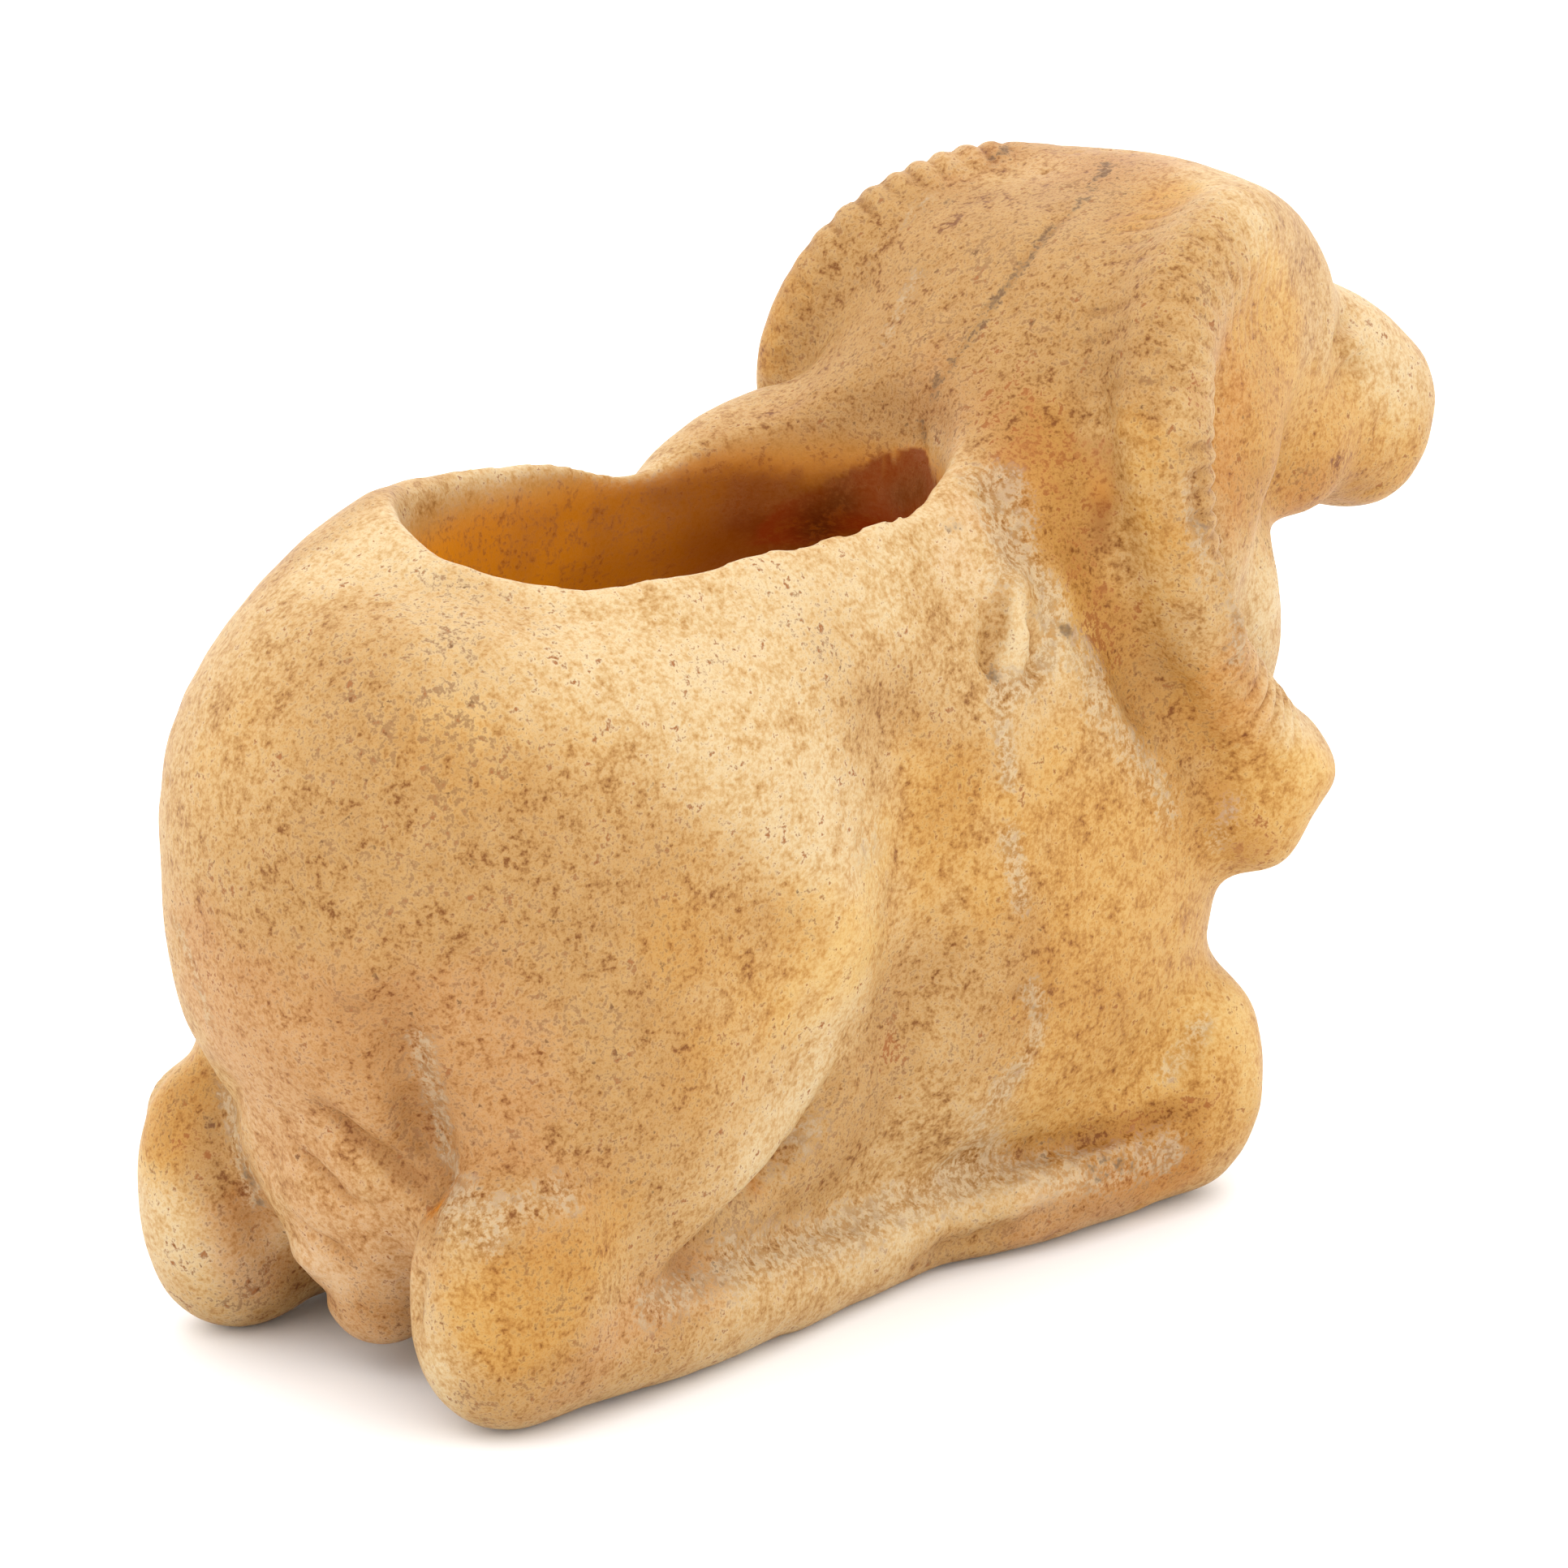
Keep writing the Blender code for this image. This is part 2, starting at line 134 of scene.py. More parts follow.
# Marks as the picture shows them: width and depth or strength in millimetres or shares, then
# the places in the photograph's pixels.
CUTS = {
    "tail": (0.55, 0.5, (396, 1360), (438, 1398), (471, 1423), (505, 1452), (530, 1480)),
    "tail_2": (0.5, 0.45, (366, 1415), (412, 1457), (429, 1478), (463, 1490)),
    "tail_3": (0.5, 0.45, (362, 1499), (412, 1537), (429, 1549)),
    "tail_4": (1.6, 0.9, (471, 1234), (492, 1300), (509, 1372), (524, 1420), (539, 1475), (535, 1507)),
    "side": (0.8, 0.5, (375, 1575), (400, 1596)),
    "near_hock": (0.9, 0.6, (509, 1640), (511, 1600), (520, 1560)),
    "feet": (0.9, 0.9, (805, 1587), (846, 1551), (902, 1490), (968, 1423), (1019, 1337)),
    "foreleg": (0.8, 0.7, (1218, 1434), (1279, 1418), (1361, 1398), (1438, 1377), (1478, 1367)),
    "feet_2": (1.1, 0.7, (1135, 1556), (1198, 1532), (1260, 1508), (1320, 1484)),
    "knee": (0.9, 0.4, (1484, 1262), (1463, 1293), (1438, 1318)),
    "ear": (0.7, 0.75, (1236, 722), (1226, 770), (1220, 815), (1232, 836)),
    "ear_2": (0.7, 0.65, (1270, 745), (1281, 790), (1284, 815), (1262, 834)),
    "neck": (1.4, 0.7, (1225, 580), (1250, 640), (1270, 700)),
    "horn": (2.6, 0.8, (1290, 560), (1305, 646), (1331, 700), (1360, 780), (1410, 870), (1460, 950)),
    "horn_2": (1.0, 0.7, (1472, 570), (1474, 610), (1480, 660)),
    "neck_2": (0.5, 0.3, (1135, 520), (1133, 550), (1137, 566)),
    "hood": (0.8, 0.3, (1326, 253), (1276, 303), (1246, 349)),
}
RIDGES = {
    "neck": (1.2, 0.7, (1486, 690), (1502, 740), (1530, 800)),
    "near_hock": (1.8, 0.5, (560, 1520), (620, 1505), (680, 1490), (740, 1500)),
    "feet": (1.6, 0.5, (1050, 1535), (1106, 1515), (1223, 1490), (1310, 1470)),
    "tail": (1, 0.4, (345, 1530), (379, 1556), (412, 1586)),
    "rump": (2.2, 0.5, (500, 1180), (450, 1200), (430, 1240)),
}
PAINT = {
    # Pale strokes: paler stone, and painted highlight where noted.
    "pale": {
        # Painted highlight, partly paler stone: the lit band across the haunch.
        "haunch": (6, 0.8, (640, 830), (760, 800), (850, 800), (900, 870)),
        # Painted highlight, partly paler stone: the lit band below the lip.
        "lip": (5, 0.7, (880, 760), (960, 770), (1060, 720)),
        # Painted highlight, partly paler stone: the haunch's lit crest.
        "haunch_2": (5.5, 0.75, (920, 900), (980, 980), (1015, 1080), (1040, 1180)),
        # Painted highlight, partly paler stone: the crest where it turns down towards the hock.
        "haunch_3": (2.5, 0.7, (1045, 1230), (1000, 1330), (930, 1430)),
        "lip_2": (4, 0.6, (1100, 660), (1040, 700), (960, 720)),
        "lip_3": (5, 0.5, (450, 700), (520, 760)),
        "far_hock": (4, 1, (205, 1530), (225, 1565), (260, 1590)),
        "far_hock_2": (2.4, 1, (180, 1480), (190, 1520)),
        "tail": (1.6, 1, (345, 1524), (379, 1553), (412, 1583)),
        "near_hock": (2, 1, (536, 1690), (545, 1715)),
        "ear": (1.3, 1, (1250, 740), (1258, 780), (1252, 812)),
        "lip_4": (1.2, 0.8, (1170, 560), (1150, 600), (1125, 635)),
        "horn": (1.2, 0.4, (1440, 560), (1455, 640), (1462, 700), (1480, 770), (1520, 840)),
        "horn_2": (2.6, 0.9, (1600, 905), (1625, 935)),
        # Painted highlight, partly paler stone: the brow's lit arc.
        "brow": (3, 0.7, (1512, 216), (1545, 270), (1575, 330)),
        # Painted highlight, partly paler stone: the lit top of the muzzle.
        "muzzle": (4.5, 0.7, (1660, 360), (1700, 390), (1730, 440)),
        "muzzle_2": (3, 0.5, (1690, 470), (1720, 520)),
        "horn_3": (3.5, 0.8, (1540, 680), (1550, 740), (1570, 800)),
        "knee": (1.4, 0.9, (1484, 1260), (1463, 1291), (1438, 1316)),
        "knee_2": (2.4, 0.6, (1530, 1250), (1545, 1320)),
        "feet": (1.6, 0.4, (851, 1602), (940, 1590), (1030, 1576), (1100, 1545)),
        # Painted highlight, partly paler stone: the lit crest of the ledge over the feet.
        "feet_2": (1.6, 0.6, (1106, 1515), (1223, 1490), (1310, 1474)),
        "flank": (3, 0.6, (1086, 1036), (1070, 1080)),
        "neck": (3, 0.8, (1155, 580), (1175, 630), (1190, 700)),
        "ear_2": (2.2, 0.8, (1320, 740), (1340, 790), (1300, 800)),
        "lip_5": (5, 0.6, (600, 600), (700, 585), (780, 590)),
        "side": (3, 0.6, (470, 640), (400, 690)),
        # Painted highlight: the thin pale line along the lip's edge.
        "lip_6": (2, 0.8, (508, 650), (520, 690), (600, 715), (700, 732), (800, 722), (900, 702),
            (1000, 668), (1100, 640)),
    },
    "brown": {
        "near_hock_low": (1.6, 0.9, (600, 1732), (650, 1722), (700, 1705)),
        "far_hock_low": (2.4, 0.7, (230, 1600), (300, 1615), (360, 1618)),
        "hock_side": (4, 0.6, (640, 1560), (690, 1600), (640, 1660)),
        "crown": (7, 0.7, (1130, 320), (1230, 290), (1350, 290), (1420, 320)),
        "cheek": (3, 0.5, (1560, 470), (1580, 540), (1560, 590)),
        "rump_top": (6, 0.5, (400, 800), (450, 760), (540, 800)),
        "rump": (7, 0.8, (395, 1044), (479, 970), (560, 1000)),
        "rump_2": (6, 0.7, (560, 1090), (640, 1050), (700, 1110)),
        "rump_3": (6, 0.5, (289, 1149), (320, 1220), (330, 1290)),
        "haunch": (6, 0.5, (820, 1060), (880, 1140), (800, 1250)),
        "rump_4": (5, 0.5, (640, 1180), (720, 1260), (800, 1330)),
        "rump_5": (3, 1, (471, 1234), (460, 1262), (492, 1300)),
        "tail": (1.4, 1, (505, 1340), (514, 1390), (525, 1430), (539, 1475), (530, 1515)),
        "tail_2": (0.8, 1, (396, 1360), (438, 1398), (471, 1423), (505, 1452), (530, 1480)),
        "tail_3": (0.7, 0.9, (366, 1415), (412, 1457), (429, 1478)),
        "tail_4": (0.7, 0.9, (412, 1537), (429, 1549)),
        "side": (1.2, 0.9, (375, 1579), (400, 1596)),
        "side_2": (1.6, 0.8, (446, 1612), (480, 1625)),
        "far_hock": (3.4, 1, (227, 1406), (262, 1385), (250, 1420)),
        "far_hock_2": (2, 0.9, (240, 1360), (270, 1340)),
        "far_hock_3": (3, 0.7, (300, 1500), (335, 1550), (345, 1600)),
        "near_hock": (1.5, 1, (581, 1730), (600, 1742)),
        "near_hock_2": (1.8, 1, (655, 1728), (675, 1712)),
        "near_hock_3": (3, 0.6, (700, 1700), (760, 1690), (820, 1680)),
        "feet": (2.8, 1, (830, 1590), (890, 1535), (960, 1480), (1050, 1390)),
        # Partly brown stone and partly painted shade under the mouth and jaw.
        "cheek_low": (4, 0.5, (1580, 560), (1640, 600), (1690, 600)),
        "thigh": (6, 0.7, (560, 1400), (640, 1420), (720, 1430), (800, 1440)),
        "hood_14": (6, 0.9, (1150, 300), (1250, 330), (1300, 400)),
        "haunch_2": (2.6, 0.7, (1014, 1400), (1060, 1340), (1091, 1291)),
        "flank": (1.6, 1, (1091, 1291), (1075, 1316), (1050, 1326)),
        "haunch_3": (3.6, 0.6, (1106, 1214), (1060, 1400), (1000, 1470)),
        "shoulder": (3, 0.7, (1270, 1136), (1285, 1194), (1275, 1230)),
        "flank_2": (3, 0.6, (1180, 1180), (1220, 1240), (1200, 1310)),
        "knee": (2.6, 0.7, (1350, 1230), (1380, 1250)),
        "haunch_4": (3.2, 0.6, (1033, 788), (1030, 830), (1066, 878)),
        "flank_3": (3, 0.6, (1120, 860), (1180, 930), (1160, 1000)),
        # Painted shadow: the dark gap under the hind hoof.
        "feet_2": (2.6, 1, (1147, 1556), (1198, 1536), (1234, 1525)),
        # Partly reddish-brown stone and partly painted shade on the foreleg's lower face.
        "foreleg": (2, 0.8, (1310, 1495), (1376, 1474), (1440, 1440)),
        "foreleg_2": (1.1, 1, (1218, 1434), (1279, 1418), (1361, 1398), (1438, 1377), (1478, 1367)),
        "knee_2": (2, 0.8, (1351, 1412), (1438, 1400), (1478, 1418)),
        "horn": (3, 0.8, (1305, 646), (1331, 686), (1348, 745), (1390, 830)),
        "horn_6": (1.1, 0.4, (1420, 500), (1436, 560), (1440, 620), (1455, 700), (1470, 760)),
        "neck": (3, 0.9, (1260, 560), (1300, 600), (1320, 640)),
        "shoulder_2": (3, 0.8, (1420, 880), (1460, 930), (1480, 990)),
        "horn_2": (2.2, 0.5, (1380, 800), (1420, 850)),
        "horn_3": (2, 1, (1480, 560), (1485, 600), (1480, 640)),
        "horn_4": (3, 0.6, (1500, 680), (1510, 760), (1530, 840)),
        "hood": (5.5, 0.7, (1000, 330), (980, 400), (970, 440)),
        "hood_2": (5, 0.6, (1080, 260), (1060, 330), (1050, 420)),
        "hood_3": (5, 0.6, (1200, 300), (1180, 380), (1150, 450)),
        "hood_4": (4, 0.7, (1240, 360), (1210, 430), (1180, 500)),
        "hood_5": (3.5, 0.6, (1300, 300), (1340, 230)),
        "hood_6": (4, 0.5, (1290, 470), (1330, 420)),
        "hood_7": (2.6, 0.6, (1240, 185), (1300, 180), (1380, 200)),
        "hood_8": (3, 0.5, (1130, 180), (1060, 230)),
        "hood_9": (2.5, 0.7, (1400, 400), (1380, 440), (1420, 460)),
        "hood_10": (3, 0.7, (1000, 530), (940, 540), (880, 560)),
        "hood_11": (2, 0.8, (1010, 520), (1060, 530)),
        "lip": (1.6, 0.8, (365, 686), (428, 644), (479, 602), (520, 585)),
        # Partly brown stone and partly painted shade under the jaw.
        "horn_5": (2.6, 0.7, (1624, 608), (1650, 612)),
        "haunch_5": (2, 0.6, (950, 1130), (1000, 1150)),
        "lip_2": (2, 0.5, (580, 720), (640, 745)),
        "ear": (0.7, 1, (1238, 722), (1226, 770), (1220, 815), (1234, 838)),
        "ear_2": (0.6, 0.9, (1272, 745), (1283, 790), (1286, 815), (1264, 836)),
        "hood_12": (4.5, 1, (1210, 420), (1190, 470), (1120, 450)),
        "hood_13": (4, 0.5, (1100, 330), (1150, 380)),
        "cheek_3": (4, 0.7, (1530, 600), (1550, 640)),
        "rump_6": (4, 0.4, (480, 820), (560, 800)),
    },
    "amber": {
        "cheek_2": (6, 1, (1560, 420), (1540, 500), (1560, 560), (1620, 560)),
        "flank_low": (6, 0.6, (1040, 1180), (1090, 1100), (1120, 1000)),
        "knee": (8, 0.9, (1438, 1168), (1400, 1120), (1346, 1230), (1440, 1260)),
        "shoulder": (6, 0.7, (1330, 1000), (1380, 1060)),
        "knee_2": (6, 0.5, (1350, 1330), (1430, 1330)),
        "knee_3": (4, 0.8, (1514, 1306), (1500, 1380), (1450, 1430)),
        "band": (3.6, 0.9, (1280, 530), (1310, 620), (1335, 700), (1370, 800)),
        "horn": (3, 0.5, (1400, 540), (1430, 610), (1440, 690)),
        "horn_2": (3.4, 0.8, (1480, 860), (1530, 930), (1580, 1000)),
        "chest": (3.2, 0.9, (1629, 964), (1560, 1020), (1520, 1060)),
        "near_hock": (4, 0.7, (741, 1532), (700, 1560), (640, 1640)),
        "near_hock_2": (3, 0.5, (600, 1590), (660, 1660)),
        "far_hock": (3, 0.8, (225, 1340), (200, 1400)),
        "haunch": (6, 0.5, (850, 1150), (900, 1200), (860, 1300)),
        "rump": (5, 0.4, (300, 900), (280, 960)),
        "muzzle": (4, 0.7, (1680, 560), (1700, 590), (1730, 560)),
        "cheek": (4, 0.5, (1560, 380), (1570, 450)),
        "hood": (2.6, 0.6, (1440, 240), (1400, 270)),
        "hood_2": (3, 0.7, (940, 440), (950, 400), (975, 350)),
        "rump_2": (5, 0.4, (560, 930), (700, 950)),
        "flank": (4, 0.4, (1170, 1000), (1200, 1080)),
    },
    "rosy": {
        "tail": (7, 0.9, (400, 1330), (380, 1430), (430, 1520), (440, 1610)),
        "side": (6, 0.7, (560, 1260), (600, 1350), (640, 1420)),
        "rump": (5, 0.7, (250, 1180), (300, 1300)),
        "far_hock": (2.6, 0.8, (330, 1560), (300, 1480)),
        "near_hock": (3, 0.6, (856, 1575), (760, 1650), (700, 1720)),
        # Partly reddish-brown stone and partly painted shade on the foreleg's lower face.
        "foreleg": (3, 0.8, (1280, 1510), (1380, 1475), (1460, 1440)),
        "neck": (4, 0.4, (1140, 470), (1180, 530), (1230, 560)),
        "hood": (5, 0.5, (1200, 200), (1300, 200), (1400, 200)),
        "cheek": (3.4, 0.6, (1500, 440), (1510, 520), (1500, 640)),
        "horn_2": (3, 0.6, (1540, 900), (1520, 820)),
        "horn_3": (3, 0.6, (1610, 610), (1590, 640)),
        "neck_2": (5, 0.4, (1180, 700), (1190, 640)),
        "hood_2": (4, 0.5, (960, 530), (900, 560)),
    },
    "rust": {
        "neck": (3, 1, (1262, 530), (1290, 560), (1330, 575)),
        "horn": (2.8, 1, (1310, 600), (1325, 660), (1345, 725), (1365, 780)),
        "cheek": (1.6, 0.7, (1475, 492)),
        "chest": (2.2, 0.7, (1490, 960), (1540, 1050)),
        "knee": (2, 0.6, (1351, 1408), (1420, 1392)),
        "far_hock": (2.6, 0.6, (240, 1400), (265, 1420)),
        "hood": (2.6, 0.5, (1220, 430), (1245, 460)),
        "flank": (2, 0.6, (1090, 1290)),
        "knee_2": (2, 0.5, (1500, 1350), (1470, 1370)),
    },
    "crust": {
        "tail": (1.2, 1, (514, 1288), (526, 1347), (535, 1406), (547, 1457)),
        "near_hock": (2, 0.8, (560, 1480), (600, 1490), (644, 1482), (690, 1474)),
        "near_hock_2": (1.4, 0.8, (555, 1500), (600, 1530)),
        "far_hock": (1.1, 1, (282, 1347), (290, 1394), (303, 1440), (312, 1474)),
        "rump": (0.8, 0.8, (215, 1137), (240, 1200), (257, 1259)),
        "feet": (2.4, 0.9, (902, 1561), (1004, 1536), (1055, 1510), (1132, 1480), (1177, 1459)),
        "near_hock_3": (1.8, 0.8, (800, 1610), (850, 1590)),
        "foreleg": (2.6, 0.6, (1208, 1378), (1212, 1423), (1240, 1450)),
        "shoulder": (1.2, 0.9, (1244, 1031), (1254, 1077), (1259, 1112)),
        "foreleg_2": (1.2, 0.9, (1269, 1219), (1280, 1255), (1269, 1301), (1239, 1337)),
        "shoulder_2": (1, 0.9, (1232, 868), (1238, 911), (1245, 961)),
        "ear": (1.2, 1, (1232, 838), (1270, 842), (1291, 812)),
        "neck": (1.6, 0.9, (1200, 590), (1218, 606), (1232, 666), (1240, 710)),
        "neck_2": (1.6, 0.9, (1240, 590), (1261, 626), (1275, 692), (1298, 732)),
        "horn": (1.8, 0.9, (1305, 768), (1340, 810), (1358, 828)),
        "shoulder_3": (2.4, 0.7, (1360, 880), (1400, 930), (1440, 1000)),
        "knee": (2.2, 0.8, (1310, 1444), (1387, 1434), (1440, 1415)),
        "knee_2": (1.2, 0.8, (1484, 1260), (1463, 1291), (1438, 1316)),
        "horn_2": (1.2, 0.8, (1490, 720), (1512, 760), (1520, 810)),
        "horn_3": (1.2, 0.8, (1466, 590), (1470, 640), (1480, 690)),
        "flank": (2.2, 0.6, (1086, 1036), (1066, 1050)),
        "haunch": (2, 0.6, (1004, 1393), (960, 1440)),
        "hood": (1, 0.6, (1060, 340), (1100, 290), (1150, 240)),
        "hood_2": (1.2, 0.6, (1090, 420), (1110, 380), (1130, 340)),
        "chest": (1.6, 0.6, (1500, 1040), (1520, 990)),
    },
    "grey": {
        "neck": (1.1, 1, (1172, 646)),
        "horn": (0.7, 1, (1371, 593)),
        "horn_2": (0.8, 1, (1315, 775)),
        "ear": (0.7, 0.9, (1222, 815), (1225, 840)),
        "near_hock": (1.2, 0.7, (590, 1500), (625, 1484)),
        "far_hock": (1, 0.8, (305, 1450), (312, 1474)),
        "hood": (0.55, 1, (1366, 200), (1326, 253), (1276, 303), (1246, 349), (1213, 389)),
        "hood_2": (0.6, 1, (1213, 389), (1180, 438), (1149, 487)),
        "neck_2": (0.6, 1, (1135, 520), (1133, 550), (1137, 566)),
        "hood_3": (0.7, 0.7, (1243, 183), (1203, 216), (1160, 260)),
        "hood_4": (0.7, 0.6, (1060, 330), (1100, 280)),
        "haunch": (1.2, 0.6, (1070, 1316), (1050, 1330)),
        "knee": (1.1, 0.7, (1390, 1437), (1350, 1440)),
        "brow": (0.8, 0.7, (1621, 349), (1625, 370)),
        "horn_3": (1.2, 0.6, (1478, 601), (1480, 640)),
        "tail": (1, 0.6, (535, 1470), (540, 1500)),
        "foreleg": (1.2, 0.5, (1272, 1230), (1275, 1260)),
        "far_hock_2": (1, 0.7, (250, 1380), (290, 1420)),
    },
    # Red patches and darker patches of the hollow's painted glow.
    "ember": {
        "front": (2.6, 1.0, (1000, 645), (1060, 628), (1105, 606), (1128, 598)),
        "middle": (1.6, 0.35, (940, 660), (975, 640)),
    },
    "smoke": {
        "blob": (1.7, 0.9, (1009, 652), (1012, 630), (1030, 615)),
        "front": (1.2, 0.6, (1110, 612), (1132, 600)),
    },
}

# The eyes and their lids, in carving millimetres, the same on both sides: places, width, depth.
FACE_CUTS = {
    "upper_lid": (((44.0, -5.3, 54.0), (42.0, -6.9, 53.2), (39.6, -8.1, 52.6)), 0.6, 0.45),
    "lower_lid": (((44.5, -5.7, 51.2), (42.0, -7.1, 50.4), (39.8, -8.1, 50.0)), 0.6, 0.4),
    "eye": (((43.4, -6.3, 52.5), (41.2, -7.5, 51.7)), 0.8, -0.45),
}

# Small corrections of the lip and the horns: picture places, width, offset in millimetres.
SHIFTS = {
    "lip_rear": (3.2, (0.0, 0.0, -0.55), (652, 728), (675, 730), (700, 732)),
    "lip_middle": (2.9, (0.0, 0.0, 1.3), (850, 744), (880, 739)),
    "lip_front": (2.6, (0.0, 0.0, 1.0), (945, 712), (955, 709)),
    "lip_near_rear": (2.6, (-0.8, -0.2, 0.35), (512, 650), (528, 675), (548, 692)),
    "horn_tip": (2.4, (0.0, 0.0, -1.5), (1590, 868), (1615, 880), (1635, 905)),
    "horn_front": (2.6, (0.45, -0.45, 0.0), (1450, 590), (1452, 660), (1464, 720), (1492, 790)),
    "throat": (4.0, (0.55, -0.55, 0.0), (1555, 750), (1562, 790), (1565, 820)),
}

# Colours as the studio's light shows them, 0 to 255: the stone from its darkest grains to its
# palest, the tints that multiply it, what lies on it, and the painted glow of the hollow.
LIGHT_ON_STONE = 1.7
TONES = ((0.0, (140, 86, 38)), (0.25, (188, 138, 78)), (0.5, (214, 168, 106)),
         (0.75, (230, 193, 137)), (1.0, (241, 213, 166)))
TINTS = {
    "amber": (255, 240, 200),
    "rosy": (252, 240, 240),
}
DEPOSITS = {
    "rust": (178, 100, 38),
    "crust": (230, 205, 166),
    "crust_gap": (176, 137, 96),
    "vein": (112, 84, 60),
    "speck": (146, 92, 42),
    "ink": (98, 58, 26),
}
# Painted glow of the hollow, given as emission though it is no lamp: pale at the lip, yellow lower
# down, red patches, dark patches, darker specks, and painted shade as dark red deep in front.
PAINTED_GLOW = {
    "lip": (100, 66, 14),
    "yellow": (190, 112, 1),
    "depth": (84, 30, 2),
    "ember": (96, 26, 2),
    "smoke": (34, 10, 1),
    "grime": (108, 50, 3),
}
# Emission strength 1 lets the hollow's painted glow show.
STONE_LIGHT = (("Emission Strength", 1.0), ("Subsurface Weight", 0.2),
               ("Subsurface Radius", (1.0, 0.55, 0.28)), ("Subsurface Scale", 1.4 * MM),
               ("Specular IOR Level", 0.12), ("IOR", 1.52))
STONE_BUMP = {"Strength": 0.55, "Distance": 0.15 * MM}
PAPER_LIGHT = (("Base Color", (0.9, 0.9, 0.9, 1.0)), ("Roughness", 0.9), ("Specular IOR Level", 0.1))
# The hollow's own colour: pale at the lip and darkening downwards as painted shade, with darker specks.
INNER_LIP = (208, 152, 80)
INNER_DEPTH = (104, 54, 2)
INNER_GRIME = (78, 34, 2)


def srgb(colour, light=1.0):
    """A given colour, 0 to 255, as a linear colour, with the light on it taken off."""
    shares = [c / 255 for c in colour]
    linear = [s / 12.92 if s < 0.04045 else ((s + 0.055) / 1.055) ** 2.4 for s in shares]
    return (*[value / light for value in linear], 1.0)


def rise(values, low, high):
    """A soft step from 0 below low to 1 above high."""
    share = np.clip((values - low) / (high - low), 0, 1)
    return share * share * (3 - 2 * share)


def smooth_path(points, steps=CURVE_STEPS):
    """Places along a smooth curve through a few points, at even steps of length."""
    points = np.array(points, float)
    if len(points) == 1:
        return points
    padded = np.vstack((2 * points[0] - points[1], points, 2 * points[-1] - points[-2]))
    fine = []
    for a, b, c, d in zip(padded, padded[1:], padded[2:], padded[3:]):
        for f in np.arange(0, 1, 1 / CURVE_STEPS):
            fine.append(0.5 * (2 * b + (c - a) * f + (2 * a - 5 * b + 4 * c - d) * f * f
                               + (3 * b - a - 3 * c + d) * f ** 3))
    fine = np.array(fine + [points[-1]])
    run = np.append(0, np.cumsum(np.linalg.norm(np.diff(fine, axis=0), axis=1)))
    even = np.linspace(0, run[-1], steps * (len(points) - 1) + 1)
    return np.column_stack([np.interp(even, run, column) for column in fine.T])


def along_path(points, path):
    """Distance of each point from a path, and the length run along it to the nearest place."""
    best = np.full(len(points), 1e9)
    place = np.zeros(len(points))
    run = 0.0
    if len(path) == 1:
        return np.linalg.norm(points - path[0], axis=1), place
    for a, b in zip(path, path[1:]):
        span = b - a
        length = np.linalg.norm(span)
        share = np.clip((points - a) @ span / length ** 2, 0, 1)
        gap = np.linalg.norm(points - a - share[:, None] * span, axis=1)
        closer = gap < best
        best[closer] = gap[closer]
        place[closer] = run + share[closer] * length
        run += length
    return best, place


def lumps(points, size, seed):
    """Smooth noise from -1 to 1 whose lumps are about size across."""
    place = points / size + seed * 7.31
    cell = np.floor(place).astype(np.int64)
    share = place - cell
    share = share * share * (3 - 2 * share)
    total = np.zeros(len(points))
    for corner in itertools.product((0, 1), repeat=3):
        key = cell + np.array(corner)
        mixed = (key[:, 0] * 73856093) ^ (key[:, 1] * 19349663) ^ (key[:, 2] * 83492791) ^ (seed * 97)
        mixed = ((mixed ^ (mixed >> 13)) * 1274126177) & 0xFFFFFFFF
        value = ((mixed ^ (mixed >> 16)) & 0xFFFF) / 32767.5 - 1
        weight = np.prod(np.where(np.array(corner) == 1, share, 1 - share), axis=1)
        total += value * weight
    return total


def camera_axes():
    """The ways back from the camera's aim, right and up."""
    back = Vector((math.sin(CAMERA_AZIMUTH) * math.cos(CAMERA_ELEVATION),
                   -math.cos(CAMERA_AZIMUTH) * math.cos(CAMERA_ELEVATION), math.sin(CAMERA_ELEVATION)))
    right = Vector((math.cos(CAMERA_AZIMUTH), math.sin(CAMERA_AZIMUTH), 0.0))
    return back, right, back.cross(right)


